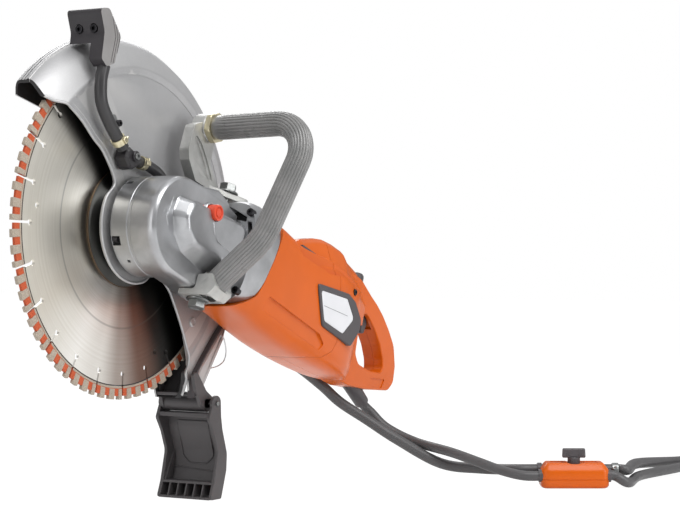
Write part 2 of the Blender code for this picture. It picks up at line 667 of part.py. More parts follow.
def from_valve(point):
    """A point of the valve's own frame, in the arbor frame."""
    turn = math.radians(VALVE_TURN)
    x, y, z = point
    return (VALVE_PLACE[0] + x * math.cos(turn) - y * math.sin(turn),
            VALVE_PLACE[1] + x * math.sin(turn) + y * math.cos(turn), VALVE_PLACE[2] + z)


def port(place, along):
    return from_valve((along, place[1], place[2]))


def build_supply(arbor, valve, orange, black, dark, brass, steel):
    reach = VALVE_HALF_LENGTH
    cable = [RELIEF_START, RELIEF_START + RELIEF_RUN * 40, RELIEF_START + RELIEF_RUN * 62,
             (380, -72, -211), (383, -91, -228), (386, -127, -243),
             (380, -177, -252), (379, -215, -262), (380, -240, -269), port(CABLE_PORT, -reach - 18),
             port(CABLE_PORT, -reach + 10), port(CABLE_PORT, 0), port(CABLE_PORT, reach - 10),
             port(CABLE_PORT, reach + 6), port((0, -9, 5.8), reach + 22),
             (512, -352, -280.7), (597, -368, -278), (630, -375.5, -273.7), (650, -380, -273.7)]
    path = smooth_path(cable, 3)
    swept("power_cable", path, [CABLE_RADIUS], arbor, black)
    end = Vector(cable[-1])
    run = (end - Vector(cable[-2])).normalized()
    swept("cable_plug", [end + run * 0.5, end + run * 6, end + run * 12, end + run * 46],
          [13.0], arbor, black, sides=12)

    entry = HOSE_ENTRY
    hose = [(entry[0], -36, entry[1]), (entry[0], -22, entry[1]), (242.5, -18, -111.5),
            (258.5, -22, -132.5), (284, -25, -150), (306, -30, -163), (321, -43, -179),
            (334, -58, -197), (349, -83, -216), (362, -117, -239), (388, -159, -266),
            (395, -207, -270), port(HOSE_PORT, -reach - 24),
            port(HOSE_PORT, -reach - 4), port(HOSE_PORT, -reach + 8)]
    swept("water_hose_machine", smooth_path(hose, 3), [HOSE_RADIUS], arbor, black)
    supply = [port(HOSE_PORT, reach - 8), port(HOSE_PORT, reach + 4), port(HOSE_PORT, reach + 14),
              port(HOSE_PORT, reach + 24), (520, -345, -268), (630, -352, -275), (672, -356, -275)]
    supply_path = smooth_path(supply, 4)
    swept("water_hose_supply", supply_path, [HOSE_RADIUS], arbor, black)
    ring_along(supply_path, 6, "hose_clamp_supply", arbor, steel)
    end = Vector(supply[-1])
    run = (end - Vector(supply[-2])).normalized()
    swept("hose_coupling", [end + run * 0.5, end + run * 34], [11.0], arbor, brass, sides=12)

    boot = [RELIEF_START + RELIEF_RUN, RELIEF_START + RELIEF_RUN * 59]
    swept("strain_relief", boot, [RELIEF_RADIUS, CABLE_RADIUS + 2.2], arbor, dark, sides=12)

    half_width, cut = 19.0, 7.0
    outline = [(-reach, -half_width + cut), (-reach + cut, -half_width), (reach - cut, -half_width),
               (reach, -half_width + cut), (reach, half_width - cut), (reach - cut, half_width),
               (-reach + cut, half_width), (-reach, half_width - cut)]
    housing = plate("valve_housing", outline, 0, VALVE_HEIGHT, valve, orange, across="Z")
    combine(housing, rod("cable_way", CABLE_RADIUS + 1.5, -60, 60, "X", valve, steps=12,
                         centre=CABLE_PORT))
    for name, low, high in (("hose_way_in", -60, -reach + 10), ("hose_way_out", reach - 10, 60)):
        combine(housing, rod(name, HOSE_RADIUS + 0.6, low, high, "X", valve, steps=12,
                             centre=HOSE_PORT))
    combine(housing, rod("knob_bore", 7.3, VALVE_HEIGHT - 4, VALVE_HEIGHT + 5, "Z", valve, steps=20))


def build_valve_knob(knob_frame, dark):
    knob = turned("valve_knob", [(7.0, -3.6), (7.0, 5), (6.0, 6)], "Z", knob_frame, dark, steps=20)
    wing = [(-13, -4), (13, -4), (13, 4), (-13, 4)]
    combine(knob, plate("knob_wing", wing, 5, 15, knob_frame, across="Z"), "UNION")


# ---------------------------------------------------------------- the saw

def main():
    clear_scene()
    cast = paint("cast_alloy", (0.55, 0.55, 0.56), 0.35, 0.8)
    guard_grey = paint("guard_grey", (0.50, 0.50, 0.52), 0.35, 0.7)
    orange = paint("orange_plastic", (0.75, 0.16, 0.03), 0.35)
    rubber = paint("black_rubber", (0.06, 0.055, 0.06), 0.6)
    plastic = paint("dark_plastic", (0.07, 0.065, 0.07), 0.55)
    steel = paint("bearing_steel", (0.6, 0.6, 0.6), 0.3, 1.0)
    blade_steel = paint("blade_steel", (0.62, 0.60, 0.58), 0.3, 1.0)
    zinc = paint("yellow_zinc", (0.62, 0.58, 0.42), 0.35, 1.0)
    dark_steel = paint("black_screw", (0.03, 0.03, 0.03), 0.4, 0.8)
    brass = paint("brass_band", (0.60, 0.48, 0.25), 0.35, 1.0)
    copper = paint("copper", (0.72, 0.35, 0.2), 0.3, 1.0)
    carbon = paint("carbon", (0.02, 0.02, 0.02), 0.7)
    light = paint("label_grey", (0.65, 0.65, 0.66), 0.4)
    red = paint("red_plastic", (0.75, 0.09, 0.03), 0.4)

    arbor = frame("arbor_frame", ARBOR)
    machine = frame("machine_frame", turn=(0, MACHINE_PITCH, 0), parent=arbor)
    motor = frame("motor_axis", (0, MOTOR_Y, 0), parent=machine)
    foot_hinge = frame("foot_hinge", FOOT_PIN, parent=arbor)
    trigger_frame = frame("trigger_axis", TRIGGER_PIN, parent=machine)
    lockout_frame = frame("lockout_axis", LOCKOUT_PLACE, parent=machine)
    lock_frame = frame("spindle_lock_axis", LOCK_PIN_PLACE, parent=machine)
    valve = frame("valve_frame", VALVE_PLACE, (0, 0, VALVE_TURN), arbor)
    knob_frame = frame("knob_axis", (0, 0, VALVE_HEIGHT), parent=valve)

    build_blade(arbor, blade_steel, zinc)
    build_spindle(arbor, steel)
    build_gears(machine, motor, steel)
    build_guard(arbor, guard_grey)
    build_guard_grip(arbor, rubber, dark_steel, rubber, brass)
    build_foot_bracket(arbor, plastic, steel)
    build_foot(foot_hinge, plastic)
    build_gear_case(arbor, machine, motor, cast, steel)
    build_motor(motor, steel, copper, plastic, carbon)
    build_housing(arbor, machine, orange, plastic)
    build_rear_handle(arbor, machine, orange, plastic, plastic, light, dark_steel)
    build_controls(trigger_frame, lockout_frame, lock_frame, plastic, red)
    build_front_handle(machine, rubber, cast, steel, zinc)
    build_supply(arbor, valve, orange, rubber, plastic, brass, steel)
    build_valve_knob(knob_frame, plastic)


main()
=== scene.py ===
"""The looks of the concrete cut-off saw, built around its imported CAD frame.

Lengths are in millimetres. Each shape is drawn in one of the saw's own frames: ARBOR starts at
the blade's centre and is parallel to the row frame, MACHINE is pitched with the motor (its X runs
back along the motor), FOOT starts at the foot's hinge and VALVE at the underside of the valve box.
"""

import json
import math

import bpy
import bmesh
from mathutils import Matrix, Vector

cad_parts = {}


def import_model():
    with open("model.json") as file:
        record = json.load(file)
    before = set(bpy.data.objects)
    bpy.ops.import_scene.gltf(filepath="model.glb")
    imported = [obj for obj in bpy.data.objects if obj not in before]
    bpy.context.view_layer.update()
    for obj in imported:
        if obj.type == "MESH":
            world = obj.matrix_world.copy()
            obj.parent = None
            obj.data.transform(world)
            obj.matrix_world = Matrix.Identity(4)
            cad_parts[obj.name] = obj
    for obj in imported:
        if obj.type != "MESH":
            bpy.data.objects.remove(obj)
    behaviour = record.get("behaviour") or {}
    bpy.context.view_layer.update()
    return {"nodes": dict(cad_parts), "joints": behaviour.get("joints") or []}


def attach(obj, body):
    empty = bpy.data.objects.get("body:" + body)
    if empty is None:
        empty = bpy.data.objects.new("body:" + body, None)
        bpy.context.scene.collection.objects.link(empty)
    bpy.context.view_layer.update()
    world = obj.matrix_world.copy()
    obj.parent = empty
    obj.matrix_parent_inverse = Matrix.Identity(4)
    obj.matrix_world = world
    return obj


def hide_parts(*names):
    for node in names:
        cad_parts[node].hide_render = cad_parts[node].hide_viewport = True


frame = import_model()

MM = 0.001
MOTOR_Y = -65.0
PITCH = 20.0
VALVE_TURN = -59.2
VALVE_HEIGHT = 28.0
GUARD_RADIUS = 194.0


def joint_point(name):
    return Vector(next(j["pos_m"] for j in frame["joints"] if j["name"] == name))


def space(origin, angle=0.0, axis="Y"):
    return Matrix.Translation(origin) @ Matrix.Rotation(math.radians(angle), 4, axis)


ARBOR = space(joint_point("blade_spin"))
MACHINE = space(joint_point("blade_spin"), PITCH)
FOOT = space(joint_point("foot_fold"))
VALVE = space(joint_point("valve_turn") - Vector((0, 0, VALVE_HEIGHT * MM)), VALVE_TURN, "Z")


# ---------------------------------------------------------------- drawing helpers

def polar(radius, angle, centre=(0, 0)):
    turn = math.radians(angle)
    return centre[0] + radius * math.cos(turn), centre[1] + radius * math.sin(turn)


def arc(centre, radius, start, end, steps):
    return [polar(radius, start + (end - start) * k / steps, centre) for k in range(steps + 1)]


def rounded(outline, radius, steps=5):
    """A closed outline with every corner rounded. radius is one number, or one for each corner."""
    count = len(outline)
    radii = radius if isinstance(radius, (list, tuple)) else [radius] * count
    points = []
    for k in range(count):
        here = Vector(outline[k])
        back = Vector(outline[k - 1]) - here
        ahead = Vector(outline[(k + 1) % count]) - here
        room = min(back.length, ahead.length) * 0.48
        back.normalize()
        ahead.normalize()
        half = back.angle(ahead) / 2
        reach = min(radii[k] / max(math.tan(half), 1e-6), room)
        start, end = here + back * reach, here + ahead * reach
        for i in range(steps + 1):
            t = i / steps
            points.append(tuple(start * (1 - t) ** 2 + here * 2 * t * (1 - t) + end * t * t))
    return points


def oblong(x, y, radius, steps=5):
    return rounded([(-x, -y), (x, -y), (x, y), (-x, y)], radius, steps)


def smooth(points, steps):
    """Catmull-Rom points through the given ones."""
    controls = [Vector(point) for point in points]
    controls = [2 * controls[0] - controls[1], *controls, 2 * controls[-1] - controls[-2]]
    path = []
    for a, b, c, d in zip(controls, controls[1:], controls[2:], controls[3:]):
        for k in range(steps):
            t = k / steps
            path.append(0.5 * (2 * b + (c - a) * t + (2 * a - 5 * b + 4 * c - d) * t * t
                               + (3 * b - a - 3 * c + d) * t * t * t))
    path.append(controls[-2])
    return path


def fillet_path(corners, radii, steps):
    """A polyline in space whose inner corners are rounded by arcs."""
    path = [Vector(corners[0])]
    for before, corner, after, radius in zip(corners, corners[1:], corners[2:], radii):
        here = Vector(corner)
        back = (Vector(before) - here).normalized()
        ahead = (Vector(after) - here).normalized()
        half = back.angle(ahead) / 2
        middle = here + (back + ahead).normalized() * (radius / math.sin(half))
        start = here + back * (radius / math.tan(half)) - middle
        end = here + ahead * (radius / math.tan(half)) - middle
        turn = start.angle(end)
        for k in range(steps + 1):
            share = k / steps
            path.append(middle + (start * math.sin((1 - share) * turn)
                                  + end * math.sin(share * turn)) / math.sin(turn))
    path.append(Vector(corners[-1]))
    return path


def thicken(path, most):
    """The same path with points no further apart than most."""
    path = [Vector(point) for point in path]
    points = [path[0]]
    for a, b in zip(path, path[1:]):
        parts = max(1, math.ceil((b - a).length / most))
        points.extend(a.lerp(b, k / parts) for k in range(1, parts + 1))
    return points


# ---------------------------------------------------------------- meshes

def added(name, data):
    """A new object in the scene."""
    obj = bpy.data.objects.new(name, data)
    bpy.context.scene.collection.objects.link(obj)
    return obj


def skin(rings, where, wrap=False):
    """A closed mesh object over rings of points, placed in one of the saw's frames."""
    shape = bmesh.new()
    rows = [[shape.verts.new(Vector(point) * MM) for point in ring] for ring in rings]
    pairs = list(zip(rows, rows[1:]))
    if wrap:
        pairs.append((rows[-1], rows[0]))
    for near, far in pairs:
        for i in range(len(near)):
            j = (i + 1) % len(near)
            shape.faces.new((near[i], near[j], far[j], far[i]))
    if not wrap:
        shape.faces.new(rows[0])
        shape.faces.new(rows[-1])
    bmesh.ops.recalc_face_normals(shape, faces=shape.faces)
    mesh = bpy.data.meshes.new("shape")
    shape.to_mesh(mesh)
    shape.free()
    obj = added("shape", mesh)
    obj.matrix_world = where
    return obj


# Where a flat shape's two coordinates and its depth along an axis go.
SPREAD = {
    "X": lambda a, b, depth: (depth, a, b),
    "Y": lambda a, b, depth: (a, depth, b),
    "Z": lambda a, b, depth: (a, b, depth),
}


def mound(outlines, where, across="Y"):
    """A solid whose outline changes with depth. outlines holds (depth, outline) pairs."""
    spread = SPREAD[across]
    return skin([[spread(a, b, depth) for a, b in outline] for depth, outline in outlines], where)


def slab(outline, low, high, where, across="Y"):
    """(x, z) pairs extruded along Y, (y, z) pairs along X, or (x, y) pairs along Z."""
    return mound([(low, outline), (high, outline)], where, across)


def inset(outline, amount):
    """The outline moved inwards by amount, for outlines without tight inner corners."""
    area = sum(a[0] * b[1] - b[0] * a[1] for a, b in zip(outline, outline[1:] + outline[:1]))
    sign = 1 if area > 0 else -1
    moved = []
    for k, here in enumerate(outline):
        run = Vector(outline[(k + 1) % len(outline)]) - Vector(outline[k - 1])
        if run.length < 1e-9:
            run = Vector((1, 0))
        run.normalize()
        moved.append((here[0] - sign * run.y * amount, here[1] + sign * run.x * amount))
    return moved


def box_between(low, high, where):
    outline = [(low[0], low[2]), (high[0], low[2]), (high[0], high[2]), (low[0], high[2])]
    return slab(outline, low[1], high[1], where)


def turned(profile, axis, where, wrap=False, steps=48, centre=(0, 0, 0)):
    """A solid of revolution. profile holds (radius, distance along the axis)."""
    turns = [2 * math.pi * (k + 0.5) / steps for k in range(steps)]
    rings = []
    for radius, along in profile:
        rings.append([Vector(SPREAD[axis](radius * math.cos(t), radius * math.sin(t), along))
                      + Vector(centre) for t in turns])
    return skin(rings, where, wrap)


def rod(radius, low, high, axis, where, steps=24, centre=(0, 0, 0)):
    return turned([(radius, low), (radius, high)], axis, where, steps=steps, centre=centre)


def tube(path, radius, where, sides):
    """A bar along a path. radius is a number, or a function of (share of the length, angle)."""
    points = [Vector(point) for point in path]
    runs = [(b - a).normalized() for a, b in zip(points, points[1:])]
    lengths = [0.0]
    for a, b in zip(points, points[1:]):
        lengths.append(lengths[-1] + (b - a).length)
    side = None
    rings = []
    for i, point in enumerate(points):
        ahead = (runs[max(i - 1, 0)] + runs[min(i, len(runs) - 1)]).normalized()
        if side is None:
            side = ahead.orthogonal().normalized()
        side = (side - ahead * side.dot(ahead)).normalized()
        up = ahead.cross(side)
        ring = []
        for k in range(sides):
            turn = 2 * math.pi * k / sides
            reach = radius(lengths[i] / lengths[-1], turn) if callable(radius) else radius
            ring.append(point + reach * (side * math.cos(turn) + up * math.sin(turn)))
        rings.append(ring)
    return skin(rings, where)


def bake(obj):
    """The object's modifiers become its mesh."""
    bpy.context.view_layer.update()
    evaluated = obj.evaluated_get(bpy.context.evaluated_depsgraph_get())
    mesh = bpy.data.meshes.new_from_object(evaluated)
    obj.modifiers.clear()
    obj.data = mesh
    return obj


def combine(obj, tools, operation="DIFFERENCE"):
    for tool in tools:
        modifier = obj.modifiers.new("combine", "BOOLEAN")
        modifier.operation = operation
        modifier.object = tool
        modifier.solver = "EXACT"
    bake(obj)
    for tool in tools:
        bpy.data.objects.remove(tool)
    return obj


def cut(obj, *tools):
    return combine(obj, tools)


def join(obj, *tools):
    return combine(obj, tools, "UNION")


def soften(obj, width, segments=2, angle=35):
    """Small rounded edges wherever two faces meet at more than angle."""
    modifier = obj.modifiers.new("bevel", "BEVEL")
    modifier.width = width * MM
    modifier.segments = segments
    modifier.limit_method = "ANGLE"
    modifier.angle_limit = math.radians(angle)
    modifier.use_clamp_overlap = True
    return bake(obj)


def together(*objs):
    """Several loose shapes as one object."""
    first = objs[0]
    shape = bmesh.new()
    for obj in objs:
        obj.data.transform(first.matrix_world.inverted() @ obj.matrix_world)
        shape.from_mesh(obj.data)
    shape.to_mesh(first.data)
    shape.free()
    for obj in objs[1:]:
        bpy.data.objects.remove(obj)
    return first


def socket_screw(radius, span, socket, socket_span, axis, where, centre, bevel=0.6, sides=24):
    """A round screw head with softened edges and a six-sided socket. Spans run along the axis."""
    head = soften(rod(radius, *span, axis, where, sides, centre), bevel)
    return cut(head, rod(socket, *socket_span, axis, where, 6, centre))


def piece(obj, name, body, paint, node, smooth_angle=40, second=None):
    """Names the object, shades it, paints it and makes it ride on a body in place of a CAD node.

    second paints the faces whose material index is 1.
    """
    obj.name = name
    obj.data.name = name
    marks = [face.material_index for face in obj.data.polygons]
    obj.data.materials.clear()
    obj.data.materials.append(PAINT[paint])
    if second:
        obj.data.materials.append(PAINT[second])
    for face, mark in zip(obj.data.polygons, marks):
        face.material_index = mark if second else 0
    obj.data.shade_smooth()
    obj.data.set_sharp_from_angle(angle=math.radians(smooth_angle))
    weighted = obj.modifiers.new("weighted", "WEIGHTED_NORMAL")
    weighted.keep_sharp = True
    weighted.weight = 80
    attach(obj, body)
    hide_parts(node)


# ---------------------------------------------------------------- materials

def srgb(red, green, blue):
    def linear(value):
        share = value / 255
        return share / 12.92 if share <= 0.04045 else ((share + 0.055) / 1.055) ** 2.4
    return linear(red), linear(green), linear(blue), 1.0


class Paint:
    """A Principled material with links made in a few words."""

    def __init__(self, name, slot):
        self.material = bpy.data.materials.new(name)
        self.material["slot"] = slot
        self.material.use_nodes = True
        self.nodes = self.material.node_tree.nodes
        self.links = self.material.node_tree.links
        self.shader = self.nodes["Principled BSDF"]
        self.place = self.nodes.new("ShaderNodeTexCoord").outputs["Object"]

    def feed(self, node, inputs):
        """Gives each of the node's inputs a link, if the value is a socket, or else a value."""
        for key, value in inputs.items():
            socket = node.inputs[key.replace("_", " ") if isinstance(key, str) else key]
            if isinstance(value, bpy.types.NodeSocket):
                self.links.new(value, socket)
            else:
                socket.default_value = value
        return node

    def node(self, kind, **inputs):
        return self.feed(self.nodes.new("ShaderNode" + kind), inputs)

    def noise(self, scale, detail, roughness=0.55):
        made = self.node("TexNoise", Vector=self.place, Scale=scale, Detail=detail,
                         Roughness=roughness)
        return made.outputs["Fac"]

    def spread(self, value, low, high, from_low=0.35, from_high=0.65):
        return self.node("MapRange", Value=value, From_Min=from_low, From_Max=from_high,
                         To_Min=low, To_Max=high).outputs[0]

    def mix(self, factor, first, second):
        made = self.nodes.new("ShaderNodeMix")
        made.data_type = "RGBA"
        return self.feed(made, {0: factor, 6: first, 7: second}).outputs[2]

    def maths(self, operation, first, second=0.0):
        made = self.nodes.new("ShaderNodeMath")
        made.operation = operation
        return self.feed(made, {0: first, 1: second}).outputs[0]

    def bump(self, height, distance, strength=1.0):
        return self.node("Bump", Height=height, Distance=distance * MM, Strength=strength).outputs[0]

    def set(self, **inputs):
        self.feed(self.shader, inputs)
        return self.material


def edge_share(paint):
    """1 on worn outer edges, 0 elsewhere."""
    geometry = paint.node("NewGeometry")
    return paint.spread(geometry.outputs["Pointiness"], 0.0, 1.0, 0.515, 0.58)


def mottled(paint, colour, tone, clouds, wear, gain, lift):
    """Cloudy darker and lighter patches of one colour, and paler rubbed edges."""
    def shade(scale, add=0.0):
        return (*[min(1, channel * scale + add) for channel in srgb(*colour)[:3]], 1)

    patches = paint.mix(paint.spread(clouds, 0, 1), shade(1 - 2 * tone), shade(1 + tone))
    return paint.mix(paint.maths("MULTIPLY", edge_share(paint), wear), patches, shade(gain, lift))


def uneven(paint, roughness):
    return paint.spread(paint.noise(30, 2), roughness - 0.02, roughness + 0.03)


def metal(name, slot, colour, roughness, metallic, grain, bump, tone=0.08):
    """Satin metal: mottled tone, fine grain, lighter rubbed edges."""
    paint = Paint(name, slot)
    return paint.set(Base_Color=mottled(paint, colour, tone, paint.noise(38, 4), 0.25, 1.25, 0.04),
                     Metallic=metallic, Roughness=uneven(paint, roughness),
                     Normal=paint.bump(paint.noise(grain, 3), bump))


def plastic(name, slot, colour, roughness, grain, bump, tone=0.05, coat=0.0, wear=0.2,
            specular=0.5):
    """Moulded plastic: fine texture, a little cloudiness, paler worn edges."""
    paint = Paint(name, slot)
    return paint.set(Base_Color=mottled(paint, colour, tone, paint.noise(24, 3), wear, 1.3, 0.012),
                     Roughness=uneven(paint, roughness), Normal=paint.bump(paint.noise(grain, 2), bump),
                     Coat_Weight=coat, Coat_Roughness=0.12, Specular_IOR_Level=specular)


def blade_steel():
    """Ground steel, one turned line and faint machining rings, with fans of painted highlight, painted
    reflection and painted shade in its colour, set by the angle round the centre.
    """
    paint = Paint("ground_blade_steel", "blade_steel")
    parts = paint.node("SeparateXYZ", Vector=paint.place)
    square = [paint.maths("POWER", parts.outputs[axis], 2.0) for axis in (0, 2)]
    radius = paint.maths("SQRT", paint.maths("ADD", *square))
    rings = paint.node("TexNoise", Scale=420.0, Detail=2.0)
    ring_place = paint.node("CombineXYZ", X=radius, Y=0.0, Z=0.0)
    paint.links.new(ring_place.outputs[0], rings.inputs["Vector"])
    off = paint.maths("ABSOLUTE", paint.maths("SUBTRACT", radius, 103 * MM))
    line = paint.spread(off, 1.0, 0.0, 0.4 * MM, 1.5 * MM)
    tone = paint.mix(paint.spread(rings.outputs["Fac"], 0, 1), srgb(236, 233, 226),
                     srgb(246, 244, 239))
    mottled = paint.mix(paint.spread(paint.noise(26, 2), 0, 0.2), tone, srgb(222, 217, 208))
    # Painted highlight, reflection and shade: a ramp over the angle round the blade's centre lightens the
    # colour in bright fans, darkens it to near black by the guard and tints one fan dull red.
    turn = paint.maths("ARCTAN2", parts.outputs[2], parts.outputs[0])
    share = paint.maths("FRACT", paint.maths("DIVIDE", paint.maths("SUBTRACT", turn, math.pi / 4),
                                             2 * math.pi))
    painted_sheen = paint.node("ValToRGB", Fac=share)
    stops = ((0.1, (0.03, 0.03, 0.03, 1)), (0.222, (0.07, 0.07, 0.07, 1)), (0.262, (0.8, 0.79, 0.76, 1)),
             (0.288, (0.95, 0.94, 0.9, 1)), (0.375, (0.9, 0.88, 0.82, 1)), (0.455, (0.84, 0.81, 0.75, 1)),
             (0.5, (0.9, 0.89, 0.86, 1)), (0.535, (1, 1, 1, 1)), (0.575, (0.85, 0.84, 0.83, 1)),
             (0.615, (0.42, 0.37, 0.35, 1)), (0.655, (0.18, 0.11, 0.09, 1)), (0.7, (0.03, 0.03, 0.03, 1)))
    ramp = painted_sheen.color_ramp
    ramp.interpolation = "EASE"
    for end in (0, -1):
        ramp.elements[end].position, ramp.elements[end].color = stops[end]
    for position, tint in stops[1:-1]:
        ramp.elements.new(position).color = tint
    painted_sheen_tone = paint.nodes.new("ShaderNodeVectorMath")
    painted_sheen_tone.operation = "MULTIPLY"
    paint.links.new(mottled, painted_sheen_tone.inputs[0])
    paint.links.new(painted_sheen.outputs[0], painted_sheen_tone.inputs[1])
    colour = paint.mix(paint.maths("MULTIPLY", line, 0.4), painted_sheen_tone.outputs[0], srgb(92, 89, 86))
    tangent = paint.nodes.new("ShaderNodeTangent")
    tangent.direction_type = "RADIAL"
    tangent.axis = "Y"
    return paint.set(Base_Color=colour, Metallic=1.0,
                     Roughness=paint.spread(rings.outputs["Fac"], 0.3, 0.34),
                     Anisotropic=0.75, Tangent=tangent.outputs[0],
                     Normal=paint.bump(rings.outputs["Fac"], 0.003, 0.5))


def grit(name, colour, dark, grain=2600):
    """Sintered diamond segments: coarse speckle and a pitted surface."""
    paint = Paint(name, "blade_steel")
    speckle = paint.noise(grain, 3, 0.7)
    tone = paint.mix(paint.spread(speckle, 0, 1, 0.4, 0.62), srgb(*dark), srgb(*colour))
    return paint.set(Base_Color=tone, Roughness=0.72, Metallic=0.1,
                     Normal=paint.bump(paint.noise(grain * 0.6, 4, 0.7), 0.18))


def ribbed_rubber():
    """The front handle's soft sleeve: fine matt skin over moulded ribs."""
    paint = Paint("ribbed_sleeve_rubber", "black_rubber")
    tone = paint.mix(paint.spread(paint.noise(45, 4), 0, 1), srgb(106, 106, 105), srgb(120, 119, 118))
    worn = paint.maths("MULTIPLY", edge_share(paint), 0.5)
    return paint.set(Base_Color=paint.mix(worn, tone, srgb(150, 149, 147)),
                     Roughness=paint.spread(paint.noise(60, 2), 0.27, 0.31),
                     Normal=paint.bump(paint.noise(500, 2), 0.01), Coat_Weight=0.3,
                     Coat_Roughness=0.2)


def guard_paint():
    """Silver lacquer on sheet metal, with a faint flake and long soft stains."""
    paint = Paint("silver_guard_lacquer", "guard_grey")
    long_stain = paint.noise(9, 4, 0.6)
    tone = paint.mix(paint.spread(long_stain, 0, 1), srgb(160, 160, 161), srgb(174, 174, 175))
    flake = paint.noise(1300, 2, 0.6)
    sparkle = paint.mix(paint.spread(flake, 0, 0.25, 0.5, 0.7), tone, srgb(206, 206, 206))
    worn = paint.maths("MULTIPLY", edge_share(paint), 0.4)
    return paint.set(Base_Color=paint.mix(worn, sparkle, srgb(212, 211, 208)), Metallic=0.55,
                     Roughness=paint.spread(paint.noise(24, 2), 0.42, 0.46),
                     Normal=paint.bump(flake, 0.015), Coat_Weight=0.1, Coat_Roughness=0.3)


def make_paints():
    return {
        "orange": plastic("glossy_orange", "orange_plastic", (197, 87, 3), 0.3, 900, 0.002,
                          0.02, coat=0.1, wear=0.0, specular=0.25),
        "button": plastic("button_red", "red_plastic", (206, 66, 34), 0.36, 600, 0.01, coat=0.2),
        "cast": metal("satin_cast_alloy", "cast_alloy", (172, 173, 175), 0.3, 0.85, 900, 0.006),
        "rough_cast": metal("rough_cast_alloy", "cast_alloy", (184, 184, 181), 0.44, 0.75, 420,
                            0.08, 0.1),
        "guard": guard_paint(),
        # Painted shade: near black for the guard's insides and the bottoms of its rim grooves.
        "guard_shade": plastic("guard_painted_shade", "guard_grey", (38, 36, 37), 0.6, 900, 0.1),
        "dark": plastic("dark_moulding", "dark_plastic", (68, 64, 66), 0.46, 1400, 0.05),
        "foot": plastic("foot_moulding", "dark_plastic", (72, 69, 70), 0.5, 1100, 0.07),
        "grip": plastic("grip_rubber", "black_rubber", (46, 43, 46), 0.5, 700, 0.03),
        # Painted light: a lighter copy of the black grip rubber for the grip's faces turned towards -y.
        "grip_lit_side": plastic("grip_rubber_painted_lit", "black_rubber", (126, 124, 123), 0.6, 700, 0.05),
        "rubber": plastic("hose_rubber", "black_rubber", (46, 45, 46), 0.36, 700, 0.02),
        "cable": plastic("cable_jacket", "black_rubber", (74, 73, 74), 0.42, 700, 0.03),
        "sleeve": ribbed_rubber(),
        "blade": blade_steel(),
        "grit": grit("segment_grit", (184, 172, 156), (138, 127, 114)),
        "pocket": grit("segment_pocket_paint", (200, 92, 48), (160, 64, 34), 1500),
        "steel": metal("ground_steel", "bearing_steel", (190, 190, 192), 0.28, 1.0, 1500, 0.01),
        "dark_steel": metal("blued_steel", "black_screw", (58, 57, 60), 0.36, 0.9, 1500, 0.02),
        # Painted shade: the flanges' yellow-zinc plating darkened to near black, and the inner flange's
        # rim to a dark brownish gold, for the shade round the hub.
        "flange": metal("flange_zinc_painted_shade", "yellow_zinc", (62, 62, 60), 0.3, 0.9, 1300, 0.02),
        "shaded_zinc_edge": metal("zinc_edge_painted_shade", "yellow_zinc", (98, 80, 62), 0.42, 0.9, 500, 0.03, 0.12),
        "black": plastic("black_fitting", "dark_plastic", (38, 36, 38), 0.38, 1500, 0.03),
        "zinc": metal("bright_zinc", "yellow_zinc", (146, 148, 147), 0.34, 1.0, 1300, 0.03, 0.12),
        "yellow": metal("yellow_zinc_plate", "brass_band", (212, 203, 172), 0.32, 1.0, 1300, 0.02,
                        0.1),
        "copper": metal("bare_copper", "copper", (190, 118, 84), 0.32, 1.0, 1300, 0.02),
        "carbon": plastic("pressed_carbon", "carbon", (34, 34, 36), 0.6, 1800, 0.06),
        "label": plastic("satin_label", "label_grey", (206, 207, 210), 0.35, 2400, 0.008, 0.02),
        "print": plastic("label_print", "label_grey", (112, 113, 118), 0.4, 2400, 0.008, 0.02),
        # Painted shade: near black for the drum's window walls and for the liners and block put where
        # only deep shadow is seen.
        "deep_shade": plastic("deep_shadow_liner", "dark_plastic", (16, 15, 16), 0.8, 900, 0.05),
    }


PAINT = make_paints()


# ---------------------------------------------------------------- blade

BLADE_RADIUS = 175.0
SEGMENT_ROOT = 161.0
SLOTS = 24
FIRST_SLOT = 133.85
SLOT_HALF = 1.25
KEYHOLE_AT = 149.0
KEYHOLE_RADIUS = 3.0
DISC_HOLES = (52, 172, 292)


def half_angle(width, radius):
    return math.degrees(width / radius)


def blade_disc():
    outline = []
    pitch = 360 / SLOTS
    opening = math.degrees(math.asin(SLOT_HALF / KEYHOLE_RADIUS))
    gap = half_angle(SLOT_HALF, SEGMENT_ROOT)
    for k in range(SLOTS):
        middle = FIRST_SLOT + k * pitch
        outline.append(polar(SEGMENT_ROOT, middle - gap))
        centre = polar(KEYHOLE_AT, middle)
        outline.extend(arc(centre, KEYHOLE_RADIUS, middle - opening, middle - 360 + opening, 14))
        outline.extend(arc((0, 0), SEGMENT_ROOT, middle + gap, middle + pitch - gap - 1, 10))
    disc = slab(outline, -1.4, 1.4, ARBOR)
    holes = [rod(2.7, -5, 5, "Y", ARBOR, centre=(polar(139.5, a)[0], 0, polar(139.5, a)[1]))
             for a in DISC_HOLES]
    cut(disc, rod(12.9, -5, 5, "Y", ARBOR, steps=48), *holes)
    piece(disc, "blade_disc", "blade", "blade", "cutting_blade")


def sector(start, end, inner, outer, thick, steps=3):
    outline = arc((0, 0), inner, start, end, steps) + arc((0, 0), outer, end, start, steps)
    return slab(outline, -thick, thick, ARBOR)


